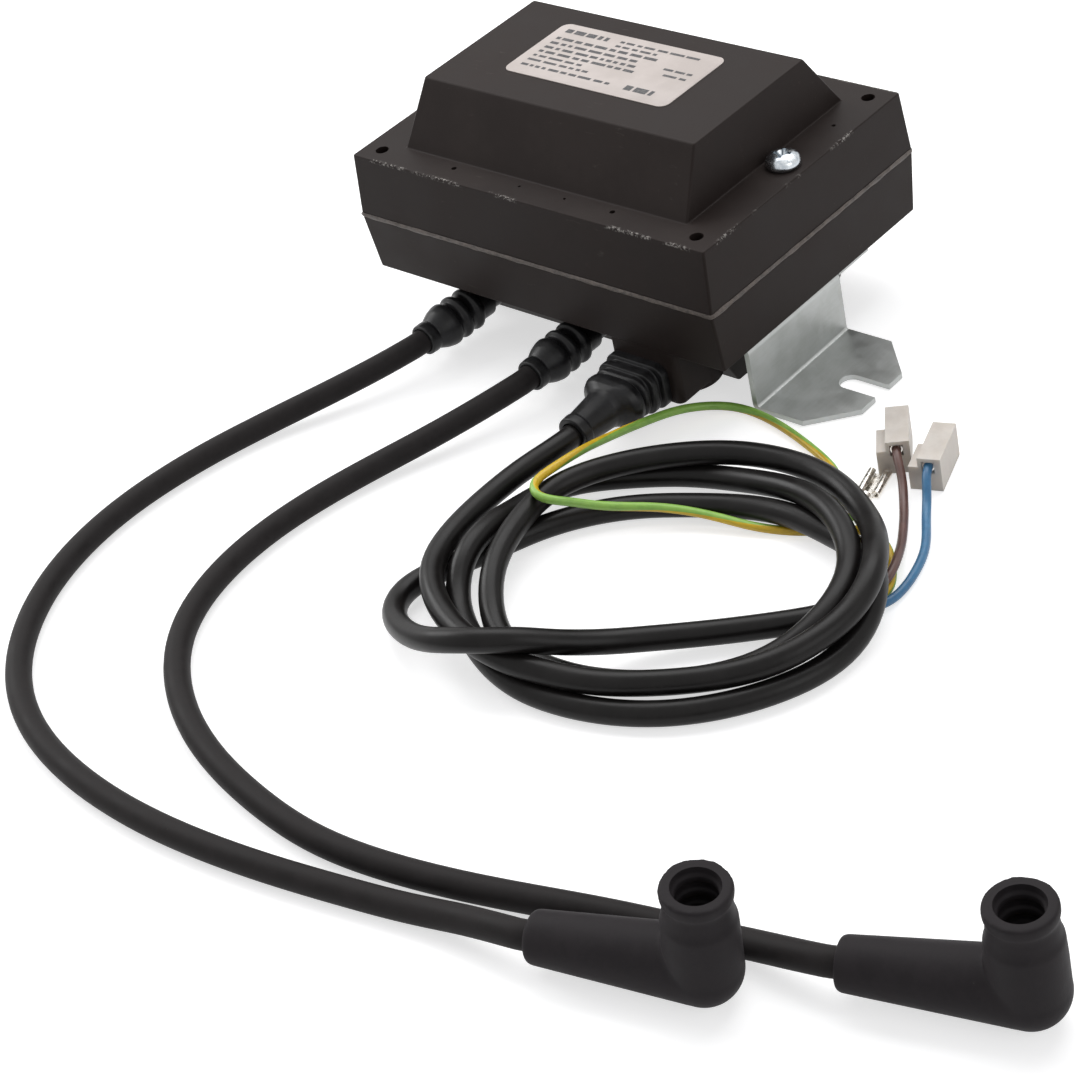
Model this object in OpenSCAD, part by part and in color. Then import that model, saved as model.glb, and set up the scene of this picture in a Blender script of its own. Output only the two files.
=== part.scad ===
// Ignition transformer with two high-voltage leads and a three-core supply lead.
// Origin on the base plane under the middle of the case, +X towards the bracket, -Y towards the leads.

/* [Case] */
// Length of the case at its seam
case_l = 130; // [120:1:150]
// Width of the case at its seam
case_w = 92; // [88:1:104]
// Height of the upper half from the seam to its flange
upper_h = 19; // [17:0.5:24]
// Height of the lower half from the seam to its flange
lower_h = 18.6; // [17:0.5:24]
// Height of the raised centre above the upper flange
raised_h = 17.8; // [16:0.2:22]
// Depth of the raised centre below the lower flange
sunk_h = 20.9; // [19:0.1:24]
// Width of the flange beyond a raised centre's ends
ledge_x = 13.5; // [12:0.5:15]
// Width of the flange beyond a raised centre's long sides
ledge_y = 11.2; // [9.6:0.2:12]
// Draft of a raised centre's ends, each side
centre_draft_x = 2.5; // [1:0.1:4]
// Slope of a raised centre's long sides, each side
centre_draft_y = 10.8; // [8:0.1:11.5]
// Draft of the case's ends, each side
draft_x = 1; // [0.5:0.1:1.5]
// Draft of the case's long sides, each side
draft_y = 1.9; // [1:0.1:2]
// Wall of the case
wall = 2.5; // [2:0.1:3]
// Radius of the case's upright corners
case_r = 3; // [2:0.5:4]
// Distance of the corner holes from the case's ends
hole_inset_x = 7.2; // [7:0.1:8]
// Distance of the corner holes from the case's long sides
hole_inset_y = 7.4; // [7:0.1:8]
// Diameter of the corner holes
hole_d = 3.9; // [3:0.1:4.5]
// Length of the label
label_l = 57; // [40:1:70]
// Width of the label
label_w = 27.5; // [20:0.5:34]

/* [Core and coils] */
// Width of the core's middle limb
limb_w = 20; // [16:1:21]
// Height of the core's stack of sheets
stack_h = 28; // [24:1:30]
// Width of the core's outer limbs and yokes
yoke_w = 9.5; // [8:0.5:10]
// Length of the primary coil, over its bobbin
primary_l = 22; // [16:1:24]
// Thickness of the magnetic shunts
shunt_t = 3.5; // [2:0.5:4]
// How much lower the primary winding is than the secondary ones, each side
primary_step = 3; // [1:0.5:5]

/* [Bracket] */
// Thickness of the bracket's sheet
sheet_t = 1.6; // [1.2:0.1:2]
// Inside bend radius of the sheet
bend_r = 0.8; // [0.6:0.1:1]
// Width of the bracket's upright and foot
bracket_w = 41.8; // [36:0.2:46]
// How far the bracket's middle lies in front of the case's middle
bracket_y = 11.7; // [8:0.1:14]
// Reach of the foot from the upright
foot_l = 26.7; // [24:0.1:32]
// Cut of the foot's corners
foot_cut = 11.5; // [6:0.5:13]
// Width of the slot in the foot
slot_w = 6.4; // [4.5:0.1:8]
// Length of the slot in the foot
slot_l = 13.7; // [10:0.1:17]

/* [Leads] */
// Diameter of the high-voltage leads
hv_d = 7; // [6:0.1:7.4]
// Diameter of the supply cable
mains_d = 6.5; // [6:0.1:7]
// Diameter of the supply cable's cores
wire_d = 2.4; // [2:0.1:2.5]
// Length of a high-voltage gland outside the case
gland_l = 28; // [26:0.5:31]
// Length of the supply grommet outside the case
grommet_l = 30; // [29:0.5:33]
// Length of an electrode boot's sleeve
sleeve_l = 40; // [38:0.5:43]
// Height of an electrode boot
boot_h = 33; // [31:0.5:36]
// Radius of an electrode boot at its elbow
elbow_r = 8.8; // [8.4:0.1:9]
// Radius of an electrode boot's socket
socket_r = 5.1; // [4.8:0.1:5.5]
// Radius of the contact's bore for the electrode
contact_r = 2; // [1.8:0.1:2.2]
// Length of a connector housing
conn_l = 16; // [15:0.5:18]
// Height of a connector housing
conn_h = 10; // [9.6:0.1:10.4]
// Thickness of a connector housing
conn_w = 6.2; // [6:0.1:6.6]

/* [Hidden] */
$fn = 48;

charcoal = [0.20, 0.19, 0.19];
rubber = [0.11, 0.11, 0.12];
zinc = [0.74, 0.77, 0.77];
iron = [0.38, 0.38, 0.40];
copper = [0.72, 0.42, 0.24];
brass = [0.78, 0.70, 0.48];
nylon = [0.90, 0.88, 0.84];
bead_color = [0.47, 0.43, 0.41];

eps = 0.01;
centre_l = case_l - 2 * ledge_x;
centre_w = case_w - 2 * ledge_y;
seam_z = sunk_h + lower_h;
flange_z = seam_z + upper_h;
top_z = flange_z + raised_h;
seam_cut = 0.65;
edge_r = 0.6;
centre_r = 2.5;
fit = 0.1;
gap = 0.3;

corner_x = case_l / 2 - hole_inset_x;
corner_y = case_w / 2 - hole_inset_y;
post_r = 5;
corners = [for (sx = [-1, 1], sy = [-1, 1]) [sx * corner_x, sy * corner_y]];

// Points of a rounded rectangle at height z, anticlockwise from above.
function ring(l, w, r, z, n = 5) = [
  for (k = [0:3], i = [0:n])
    let (a = 90 * (k + i / n), sx = (k == 0 || k == 3) ? 1 : -1, sy = k < 2 ? 1 : -1)
      [sx * (l / 2 - r) + r * cos(a), sy * (w / 2 - r) + r * sin(a), z]
];

// A solid skinned over rings of equal length, from the first ring up to the last.
module skin(rings) {
  n = len(rings[0]);
  last = (len(rings) - 1) * n;
  polyhedron(
    points = [for (points = rings, p = points) p],
    faces = concat(
      [[for (i = [0:n - 1]) i]],
      [for (j = [0:len(rings) - 2], i = [0:n - 1]) each [
        [j * n + i, (j + 1) * n + i, (j + 1) * n + (i + 1) % n],
        [j * n + i, (j + 1) * n + (i + 1) % n, j * n + (i + 1) % n]
      ]],
      [[for (i = [n - 1:-1:0]) last + i]]
    )
  );
}

// A flat rounded rectangle with true arcs at its corners.
module rounded(l, w, r) {
  square([l - 2 * r, w], center = true);
  square([l, w - 2 * r], center = true);
  for (sx = [-1, 1], sy = [-1, 1])
    translate([sx * (l / 2 - r), sy * (w / 2 - r)]) circle(r);
}

// A round bar from p to q.
module bar(p, q, r) {
  d = q - p;
  translate(p)
    rotate([0, acos(d.z / norm(d)), atan2(d.y, d.x)])
      cylinder(r = r, h = norm(d));
}

// Case. Heights are counted from the seam, for either half.
module half_case(side_h, centre_h) {
  skin([
    ring(case_l - 2 * seam_cut, case_w - 2 * seam_cut, case_r, 0),
    ring(case_l, case_w, case_r, seam_cut),
    ring(case_l - 2 * draft_x, case_w - 2 * draft_y, case_r, side_h - edge_r),
    ring(case_l - 2 * draft_x - edge_r, case_w - 2 * draft_y - edge_r, case_r, side_h),
    ring(centre_l, centre_w, centre_r, side_h),
    ring(centre_l - 2 * centre_draft_x, centre_w - 2 * centre_draft_y, centre_r,
      side_h + centre_h - edge_r),
    ring(centre_l - 2 * centre_draft_x - edge_r, centre_w - 2 * centre_draft_y - edge_r,
      centre_r, side_h + centre_h)
  ]);
}

module half_hollow(side_h, centre_h, below = 0) {
  l = case_l - 2 * wall;
  w = case_w - 2 * wall;
  skin([
    ring(l - 2 * seam_cut, w - 2 * seam_cut, case_r, -below),
    ring(l - 2 * seam_cut, w - 2 * seam_cut, case_r, eps),
    ring(l - 2 * draft_x, w - 2 * draft_y, case_r, side_h - wall),
    ring(centre_l - 2 * wall, centre_w - 2 * wall, centre_r, side_h - wall),
    ring(centre_l - 2 * wall - 2 * centre_draft_x, centre_w - 2 * wall - 2 * centre_draft_y,
      centre_r, side_h + centre_h - wall)
  ]);
}

module lower_half() {
  translate([0, 0, seam_z]) mirror([0, 0, 1]) children();
}

module corner_posts(h) {
  for (p = corners) translate(p) cylinder(r = post_r, h = h);
}

module corner_holes() {
  for (p = corners) translate([p.x, p.y, -1]) cylinder(d = hole_d, h = top_z);
}

// Steel sleeve and screw through the case, at the middle of the bracket's end.
screw_x = corner_x - 0.8;
sleeve_d = 8;
screw_d = 5;
module sleeve_hole() {
  translate([screw_x, 0, 0]) cylinder(d = sleeve_d + fit, h = top_z);
}

// Pin marks of the mould in the upper flange.
mark_y = case_w / 2 - 8;
mark_depth = 1;
marks = [[-30, -mark_y, 0.8], [28.4, -mark_y, 0.8], [-5.2, -mark_y, 0.45],
  [11.3, -mark_y, 0.45], [corner_x, mark_y - 15.6, 0.6]];

module upper_shell() {
  color(charcoal)
    difference() {
      union() {
        difference() {
          translate([0, 0, seam_z]) half_case(upper_h, raised_h);
          translate([0, 0, seam_z]) half_hollow(upper_h, raised_h, below = 1);
        }
        translate([0, 0, seam_z]) corner_posts(upper_h - wall / 2);
      }
      corner_holes();
      sleeve_hole();
      for (m = marks)
        translate([m.x, m.y, flange_z - mark_depth]) cylinder(r = m.z, h = mark_depth + 1);
    }
}

// Supply block under the front of the case, flush with the lower flange's front edge.
block_x = case_l / 2 - 30;
block_w = 23.2;
block_front = -(case_w / 2 - draft_y);
block_back = -(centre_w / 2 - 6.8);
block_z = 4.2;
block_r = 2;
boss_r = 9.2;
boss_x = block_x + block_w / 2 - boss_r + 0.2;
boss_z = 2.7;
supply_x = block_x - 1.8;
supply_z = 10;
supply_bore = 8;

module supply_block() {
  depth = block_back - block_front;
  translate([block_x, (block_front + block_back) / 2, block_z])
    linear_extrude(sunk_h - block_z + wall / 2) rounded(block_w, depth, block_r);
  translate([boss_x, block_back - 1.2, boss_z])
    cylinder(r = boss_r, h = sunk_h - boss_z + wall / 2);
}

// High-voltage outlets in the front slope of the lower centre. Each gland leans towards its lead.
hv_left_x = -centre_l / 2 + 13.2;
hv_right_x = centre_l / 2 - 49.1;
hv_left_lean = 3.6;
hv_right_lean = 1.1;
hv_z = 8.5;
outlet_y = -(centre_w / 2 - centre_draft_y * (sunk_h - hv_z) / sunk_h);
spigot_r = 4.2;
rim_h = 1.2;
hv_left_root = [hv_left_x, outlet_y, hv_z];
hv_right_root = [hv_right_x, outlet_y, hv_z];
function lean(a) = [-sin(a), -cos(a), 0];

module at_outlet(root, a) {
  translate(root) rotate([90, 0, -a]) children();
}

module lower_shell() {
  color(charcoal)
    difference() {
      union() {
        difference() {
          union() {
            lower_half() half_case(lower_h, sunk_h);
            supply_block();
          }
          lower_half() half_hollow(lower_h, sunk_h, below = 1);
        }
        lower_half() corner_posts(lower_h - wall / 2);
      }
      corner_holes();
      sleeve_hole();
      at_outlet(hv_left_root, hv_left_lean)
        translate([0, 0, -8]) cylinder(r = spigot_r + fit, h = 16);
      at_outlet(hv_right_root, hv_right_lean)
        translate([0, 0, -8]) cylinder(r = spigot_r + fit, h = 16);
      translate([supply_x, block_front - 1, supply_z]) rotate([-90, 0, 0])
        cylinder(d = supply_bore + fit, h = block_back - block_front + 8);
    }
}

// Bead squeezed out of the joint, seated in the chamfers of both halves.
bead_lip = 0.15;
bead_proud = 0.5;
module seam_bead() {
  color(bead_color)
    translate([0, 0, seam_z])
      difference() {
        skin([for (s = [[-1, bead_lip], [-0.45, bead_proud], [0.45, bead_proud], [1, bead_lip]])
          ring(case_l + 2 * s[1], case_w + 2 * s[1], case_r, s[0] * seam_cut)]);
        for (m = [0, 1])
          mirror([0, 0, m])
            skin([
              ring(case_l - 2 * seam_cut, case_w - 2 * seam_cut, case_r, -eps),
              ring(case_l - 2 * seam_cut, case_w - 2 * seam_cut, case_r, 0),
              ring(case_l, case_w, case_r, seam_cut),
              ring(case_l, case_w, case_r, seam_cut + 1)
            ]);
      }
}

label_t = 0.2;
module rating_label() {
  color([0.87, 0.85, 0.80])
    translate([-0.5, 2, top_z]) linear_extrude(label_t) rounded(label_l, label_w, 1.5);
}

// Core: an E of three limbs on one yoke, closed by an I. Its middle lies at the seam.
core_l = 2 * (corner_x - post_r) - 2;
core_w = case_w - 2 * (wall + 2.2);
window_l = core_l - 2 * yoke_w;
window_y = core_w / 2 - yoke_w;

module core_e() {
  color(iron)
    translate([0, 0, seam_z - stack_h / 2])
      linear_extrude(stack_h) {
        translate([window_l / 2, -core_w / 2]) square([yoke_w, core_w]);
        for (y = [-core_w / 2, window_y])
          translate([-window_l / 2, y]) square([window_l + 1, yoke_w]);
        translate([-window_l / 2, -limb_w / 2]) square([window_l + 1, limb_w]);
      }
}

module core_i() {
  color(iron)
    translate([-core_l / 2, -core_w / 2, seam_z - stack_h / 2])
      cube([yoke_w, core_w, stack_h]);
}

// Coils stand in a row along the middle limb: secondary, shunts, primary, shunts, secondary.
// Their size follows the core's window and the case, with a clearance to each.
bobbin_t = 1.5;
bobbin_flange = 1.5;
core_gap = 3.3;
side_gap = 3.8;
top_gap = 5.8;
end_gap = 4.5;
shunt_x = primary_l / 2 + gap;
secondary_x = shunt_x + shunt_t + gap;
coil_end = min(window_l / 2 - gap, centre_l / 2 - wall - centre_draft_x - end_gap);
secondary_l = coil_end - secondary_x;
secondary_ry = min(window_y - core_gap, centre_w / 2 - wall - side_gap) - bobbin_flange;
secondary_rz = min(upper_h + raised_h, lower_h + sunk_h) - wall - top_gap - bobbin_flange;
primary_ry = secondary_ry - primary_step;
primary_rz = secondary_rz - primary_step;
tube_w = limb_w + 2 * gap + 2 * bobbin_t;
tube_h = stack_h + 2 * gap + 2 * bobbin_t;

module magnetic_shunts() {
  color(iron)
    for (sx = [-1, 1], sy = [-1, 1])
      translate([sx * (shunt_x + shunt_t / 2), sy * (limb_w / 2 + window_y) / 2, seam_z])
        cube([shunt_t, window_y - limb_w / 2 - 2 * gap, stack_h], center = true);
}

// Turns a flat shape to stand across the limb and extrudes it along the limb from x.
module along_limb(x, l) {
  translate([x, 0, seam_z]) rotate([90, 0, 90]) linear_extrude(l) children();
}

module tube_hole() {
  square([limb_w + 2 * gap, stack_h + 2 * gap], center = true);
}

module bobbin(x, l, ry, rz) {
  difference() {
    union() {
      along_limb(x, l) square([tube_w, tube_h], center = true);
      for (at = [x, x + l - bobbin_t])
        along_limb(at, bobbin_t) coil_end_shape(ry + bobbin_flange, rz + bobbin_flange);
    }
    along_limb(x - 1, l + 2) tube_hole();
  }
}

// End view of a coil, half ry wide and half rz high.
module coil_end_shape(ry, rz) {
  rounded(2 * ry, 2 * rz, min(ry, rz) * 0.58);
}

module winding(x, l, ry, rz) {
  along_limb(x + bobbin_t, l - 2 * bobbin_t)
    difference() {
      coil_end_shape(ry, rz);
      square([tube_w, tube_h], center = true);
    }
}

module primary_bobbin() {
  color(nylon) bobbin(-primary_l / 2, primary_l, primary_ry, primary_rz);
}
module primary_winding() {
  color(copper) winding(-primary_l / 2, primary_l, primary_ry, primary_rz);
}
module secondary_bobbin_right() {
  color(nylon) bobbin(secondary_x, secondary_l, secondary_ry, secondary_rz);
}
module secondary_winding_right() {
  color(copper) winding(secondary_x, secondary_l, secondary_ry, secondary_rz);
}
module secondary_bobbin_left() {
  color(nylon) bobbin(-coil_end, secondary_l, secondary_ry, secondary_rz);
}
module secondary_winding_left() {
  color(copper) winding(-coil_end, secondary_l, secondary_ry, secondary_rz);
}

// Each high-voltage terminal runs in from a gland's spigot, and a post stands under a secondary.
// The right one turns at a knuckle under the primary, above the supply leads.
spigot_in = wall + 0.8;
pin_r = 0.9;
cross_pin_r = 0.8;
post_pin_r = 1.4;
module hv_post(at) {
  translate([at.x, at.y, hv_z - post_pin_r])
    cylinder(r = post_pin_r, h = seam_z - secondary_rz - hv_z + post_pin_r);
}
module hv_terminal_left() {
  foot = hv_left_root - lean(hv_left_lean) * (-outlet_y - 6.4);
  color(brass) {
    bar(hv_left_root - lean(hv_left_lean) * spigot_in, foot, pin_r);
    hv_post(foot);
  }
}
module hv_terminal_right() {
  knuckle = hv_right_root - lean(hv_right_lean) * (-outlet_y - 8);
  post = [secondary_x + 5, knuckle.y, hv_z];
  color(brass) {
    bar(hv_right_root - lean(hv_right_lean) * spigot_in, knuckle, pin_r);
    translate([knuckle.x, knuckle.y, hv_z - 1.2]) cylinder(r = 1.2, h = 2.4);
    bar(knuckle, post, cross_pin_r);
    hv_post(post);
  }
}

// Supply leads inside the case, from the grommet's spigot to the front of the primary.
lead_d = 1.6;
supply_in = block_back + 5;
module supply_lead(dx, y, x) {
  front = -primary_ry - lead_d / 2;
  low = wall + lead_d + 1.5;
  cord([
    [supply_x + dx, supply_in, supply_z - 2],
    [supply_x + dx, supply_in + 1, supply_z - 2],
    [supply_x + dx - 1, (supply_in + 1 + y) / 2, supply_z - 3],
    [supply_x + dx - 4, y, low],
    [x + 2.5, y, low],
    [x, y - 0.6, low + 2.5],
    [x, front + 2.4, low + 10],
    [x, front, seam_z - 12],
    [x, front, seam_z - 3]
  ], lead_d, 8, [0.2, 1, 0.1]);
}
module supply_terminals() {
  color(brass) {
    supply_lead(-1.7, supply_in + 3, 5.5);
    supply_lead(0.6, supply_in + 6.5, -5);
  }
}

module earth_link() {
  flange_in_z = sunk_h + wall + lead_d / 2 + 0.1;
  coil_x = coil_end + 1.5;
  sleeve_x = screw_x - (sleeve_d + lead_d) / 2;
  color([0.45, 0.62, 0.30])
    cord([
      [supply_x + 2.4, supply_in, supply_z],
      [supply_x + 2.4, supply_in + 1.4, supply_z],
      [supply_x + 3.4, supply_in + 1.7, supply_z + 1.4],
      [supply_x + 5.4, supply_in - 0.9, supply_z + 4.4],
      [supply_x + 7.2, supply_in - 5.2, flange_in_z - 3.8],
      [supply_x + 8.8, supply_in - 7, flange_in_z - 0.4],
      [coil_x, supply_in - 6.2, flange_in_z],
      [coil_x + 1.6, supply_in - 2, flange_in_z],
      [sleeve_x, -3, flange_in_z],
      [sleeve_x, 0.5, flange_in_z]
    ], lead_d, 8, [0.2, 1, 0.1]);
}

module potting_fill() {
  color([0.16, 0.14, 0.13])
    difference() {
      union() {
        translate([0, 0, seam_z]) half_hollow(upper_h, raised_h);
        lower_half() half_hollow(lower_h, sunk_h);
      }
      for (p = corners) translate([p.x, p.y, 0]) cylinder(r = post_r, h = top_z);
      translate([screw_x, 0, 0]) cylinder(d = sleeve_d, h = top_z);
      core_e();
      core_i();
      magnetic_shunts();
      for (s = [[-primary_l / 2, primary_l, primary_ry, primary_rz],
        [secondary_x, secondary_l, secondary_ry, secondary_rz],
        [-coil_end, secondary_l, secondary_ry, secondary_rz]]) {
        along_limb(s[0], s[1]) square([tube_w, tube_h], center = true);
        along_limb(s[0] + bobbin_t, s[1] - 2 * bobbin_t) coil_end_shape(s[2], s[3]);
        for (at = [s[0], s[0] + s[1] - bobbin_t])
          along_limb(at, bobbin_t) coil_end_shape(s[2] + bobbin_flange, s[3] + bobbin_flange);
      }
      hv_terminal_left();
      hv_terminal_right();
      supply_terminals();
      earth_link();
      spigots();
    }
}

// Parts of the glands and the grommet that reach through the case's wall.
module spigots() {
  for (g = [[hv_left_root, hv_left_lean], [hv_right_root, hv_right_lean]])
    at_outlet(g[0], g[1]) translate([0, 0, -spigot_in]) cylinder(r = spigot_r, h = spigot_in + 4);
  translate([supply_x, block_front, supply_z]) rotate([-90, 0, 0])
    cylinder(d = supply_bore, h = supply_in - block_front);
}

// Bracket: a flange under the case, an upright and a foot, bent from one sheet.
plate_x = case_l / 2 - draft_x - 0.7;
flange_in = centre_l / 2 + 0.3;
flange_w = 46;
out_r = bend_r + sheet_t;

// Side view of the sheet from the flange's bend to the foot's end, x to the right and z up.
module z_profile() {
  // upright
  translate([plate_x - sheet_t, out_r]) square([sheet_t, sunk_h - 2 * out_r]);
  // upper bend, its centre inside under the flange
  translate([plate_x - out_r, sunk_h - out_r]) quarter_bend(0);
  // lower bend, its centre outside above the foot
  translate([plate_x + bend_r, out_r]) quarter_bend(180);
  translate([plate_x + bend_r, 0]) square([foot_l - bend_r, sheet_t]);
}

// A quarter of a ring of the sheet's thickness, turned by a.
module quarter_bend(a) {
  rotate(a)
    intersection() {
      difference() {
        circle(out_r);
        circle(bend_r);
      }
      square(out_r);
    }
}

module mounting_bracket() {
  y0 = -bracket_y - bracket_w / 2;
  y1 = -bracket_y + bracket_w / 2;
  foot_x = plate_x + foot_l;
  color(zinc)
    difference() {
      union() {
        translate([0, y1, 0]) rotate([90, 0, 0]) linear_extrude(bracket_w) z_profile();
        translate([flange_in, -flange_w / 2, sunk_h - sheet_t])
          cube([plate_x - out_r - flange_in, flange_w, sheet_t]);
        translate([flange_in, y1, sunk_h - sheet_t])
          cube([plate_x - flange_in, flange_w / 2 - y1, sheet_t]);
      }
      translate([foot_x, -bracket_y, -1]) {
        translate([-slot_l, -slot_w / 2, 0]) translate([slot_w / 2, 0, 0])
          cube([slot_l, slot_w, sheet_t + 2]);
        translate([-slot_l + slot_w / 2, 0, 0]) cylinder(d = slot_w, h = sheet_t + 2);
      }
      for (s = [-1, 1])
        translate([foot_x, -bracket_y + s * bracket_w / 2, -1])
          rotate([0, 0, 45])
            cube([foot_cut * sqrt(2), foot_cut * sqrt(2), 2 * sheet_t + 4], center = true);
      translate([screw_x, 0, sunk_h - sheet_t - 1]) cylinder(d = screw_d + 0.5, h = sheet_t + 2);
    }
}

// Pan-head screw with a cross recess, down through the case and the bracket to its nut.
head_d = 9.6;
head_h = 3.4;
nut_h = 4;
nut_d = 8.8;
screw_end = sunk_h - sheet_t - nut_h - 2;
module bracket_screw() {
  color([0.85, 0.86, 0.86])
    translate([screw_x, 0, flange_z])
      difference() {
        union() {
          rotate_extrude()
            intersection() {
              translate([0, head_h - head_d]) circle(head_d);
              square([head_d / 2, head_h]);
            }
          translate([0, 0, screw_end - flange_z])
            cylinder(d = screw_d, h = flange_z - screw_end + 0.5);
        }
        for (a = [20, 110])
          rotate([0, 0, a]) translate([-2.6, -0.5, head_h - 2]) cube([5.2, 1, 3]);
        translate([0, 0, head_h - 2.4]) cylinder(r1 = 0.5, r2 = 1.6, h = 3);
      }
}

module bracket_nut() {
  color(zinc)
    translate([screw_x, 0, sunk_h - sheet_t - nut_h])
      difference() {
        rotate([0, 0, 30]) cylinder(d = nut_d, h = nut_h, $fn = 6);
        translate([0, 0, -1]) cylinder(d = screw_d + fit, h = nut_h + 2);
      }
}

module screw_sleeve() {
  color(zinc)
    translate([screw_x, 0, sunk_h])
      difference() {
        cylinder(d = sleeve_d, h = flange_z - sunk_h);
        translate([0, 0, -1]) cylinder(d = screw_d + 0.4, h = flange_z - sunk_h + 2);
      }
}

// High-voltage gland: spigot, stub, two ribs, dome, neck and a collar with a rim round the lead.
rib_r = 1.5;
rib_s = 9.3;
rib_pitch = 4.6;
gland_r = 6.2;
stub_r = 4.9;
stub_s = 3;
collar_r = hv_d / 2 + 1.3;
collar_l = 3.5;
module hv_gland_profile() {
  dome_s = rib_s + 2 * rib_pitch;
  neck_s = gland_l - collar_l;
  translate([0, -spigot_in]) square([spigot_r, spigot_in + stub_s + 1]);
  translate([0, stub_s]) square([stub_r, rib_s - stub_s]);
  translate([0, rib_s - 1]) square([gland_r - 1.1, 2 * rib_pitch]);
  for (i = [0:1])
    translate([gland_r - rib_r, rib_s + i * rib_pitch]) circle(rib_r, $fn = 24);
  polygon([
    [0, dome_s - 2.4], [gland_r - 1.1, dome_s - 1.7], [gland_r - 0.3, dome_s - 1], [gland_r, dome_s],
    [gland_r - 0.1, dome_s + 1.2], [gland_r - 0.6, dome_s + 2.6], [collar_r - 0.1, neck_s - 1.4],
    [collar_r - 0.5, neck_s], [0, neck_s]
  ]);
  translate([0, neck_s - eps]) square([collar_r, collar_l - 0.6]);
  translate([0, neck_s - 1]) square([collar_r - 0.3, collar_l + 1]);
}

module hv_gland(root, a) {
  color(rubber)
    at_outlet(root, a)
      difference() {
        rotate_extrude() hv_gland_profile();
        translate([0, 0, gland_l - rim_h]) cylinder(r = hv_d / 2 + fit, h = rim_h + 1);
      }
}
module hv_gland_left() { hv_gland(hv_left_root, hv_left_lean); }
module hv_gland_right() { hv_gland(hv_right_root, hv_right_lean); }

// Supply grommet: a stack of rounded flanges, a shoulder and a tapered sleeve.
sleeve_r = 5.6;
grommet_end_r = mains_d / 2 + 1.9;
module mains_grommet() {
  color(rubber)
    translate([supply_x, block_front, supply_z]) rotate([90, 0, 0])
      difference() {
        union() {
          translate([0, 0, block_front - supply_in])
            cylinder(d = supply_bore, h = supply_in - block_front + 1);
          for (f = [[0, 2.8, 20, 15, 5], [2, 3, 16.6, 12, 4.4], [4.4, 2.2, 18.4, 13.8, 4.8],
            [6, 2.6, 15.4, 11.4, 4.2], [8, 1.8, 16.8, 12.8, 4.6]])
            translate([0, 0, f[0]]) linear_extrude(f[1]) rounded(f[2], f[3], f[4]);
          skin([
            ring(15.4, 11.8, 5.2, 9),
            ring(15.8, 12.4, 5.6, 11),
            ring(14.8, 12.2, 5.7, 13.4),
            ring(2 * sleeve_r + 0.8, 2 * sleeve_r + 0.4, sleeve_r, 16)
          ]);
          translate([0, 0, 15]) cylinder(r1 = sleeve_r, r2 = mains_d / 2 + 1.6, h = grommet_l - 16);
          translate([0, 0, grommet_l - 3]) cylinder(r = grommet_end_r, h = 3);
        }
        translate([0, 0, grommet_l - rim_h]) cylinder(r = mains_d / 2 + fit, h = rim_h + 1);
      }
}

// Electrode boots: a tapered sleeve and an upright socket that meet in a round elbow.
// The left boot's socket tips back from its sleeve a little.
boot_left_at = [183.8, -208.6];
boot_right_at = [245.6, -179.2];
boot_left_turn = 198;
boot_right_turn = 200.5;
boot_left_tip = 5;
boot_right_tip = 0;
sleeve_end_r = 6.1;
lip_r = 7.6;
lip_h = 3.2;
contact_d = 7;
contact_z = 12;
contact_h = 7;
sheath_h = elbow_r;

// Stands its children on the elbow's centre, the sleeve along +X.
module at_elbow(at, turn) {
  translate([at.x, at.y, sheath_h]) rotate([0, 0, turn]) children();
}

module electrode_boot(at, turn, tip) {
  stem_h = boot_h - sheath_h;
  inside_z = contact_z - sheath_h;
  color(rubber)
    at_elbow(at, turn)
      difference() {
        union() {
          sphere(elbow_r);
          rotate([0, -tip, 0]) {
            cylinder(r1 = elbow_r - 0.05, r2 = lip_r + 0.3, h = stem_h - lip_h);
            translate([0, 0, stem_h - lip_h - eps])
              cylinder(r1 = lip_r - 0.2, r2 = lip_r, h = lip_h + eps);
          }
          rotate([0, 90, 0]) cylinder(r1 = elbow_r - 0.05, r2 = sleeve_end_r, h = sleeve_l);
        }
        rotate([0, -tip, 0]) {
          translate([0, 0, inside_z]) cylinder(d = contact_d, h = boot_h);
          difference() {
            translate([0, 0, inside_z + contact_h]) cylinder(r = socket_r, h = boot_h);
            for (z = [inside_z + contact_h + 3.5, stem_h - 6.4, stem_h - 2.6])
              translate([0, 0, z])
                rotate_extrude() translate([socket_r + 0.4, 0]) circle(0.9, $fn = 24);
          }
        }
        rotate([0, 90, 0])
          translate([0, 0, sleeve_l - rim_h]) cylinder(r = hv_d / 2 + fit, h = rim_h + 1);
      }
}
module electrode_boot_left() {
  electrode_boot(boot_left_at, boot_left_turn, boot_left_tip);
}
module electrode_boot_right() {
  electrode_boot(boot_right_at, boot_right_turn, boot_right_tip);
}

module boot_contact(at, turn, tip) {
  color(brass)
    at_elbow(at, turn)
      rotate([0, -tip, 0]) translate([0, 0, contact_z - sheath_h])
        difference() {
          cylinder(d = contact_d, h = contact_h);
          translate([0, 0, 1]) cylinder(r = contact_r, h = contact_h);
        }
}
module boot_contact_left() { boot_contact(boot_left_at, boot_left_turn, boot_left_tip); }
module boot_contact_right() { boot_contact(boot_right_at, boot_right_turn, boot_right_tip); }

// Places of the connector housings and the bare receptacle, and how far a core enters them.
line_at = [114.4, -38.1];
line_turn = 125;
neutral_at = [126, -40.8];
neutral_turn = 109;
key_w = 2.6;
key_h = 7.2;
wire_y = 0.4;
wire_z = 7.2;
wire_seat = 3.4;
earth_at = [114.2, -55.6];
earth_turn = 105;
tab_l = 9.6;
tab_w = 6.8;
roll_r = 1.15;
strip_t = 0.4;
barrel_r = wire_d / 2 + 0.45;
earth_z = barrel_r + 0.1;

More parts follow.
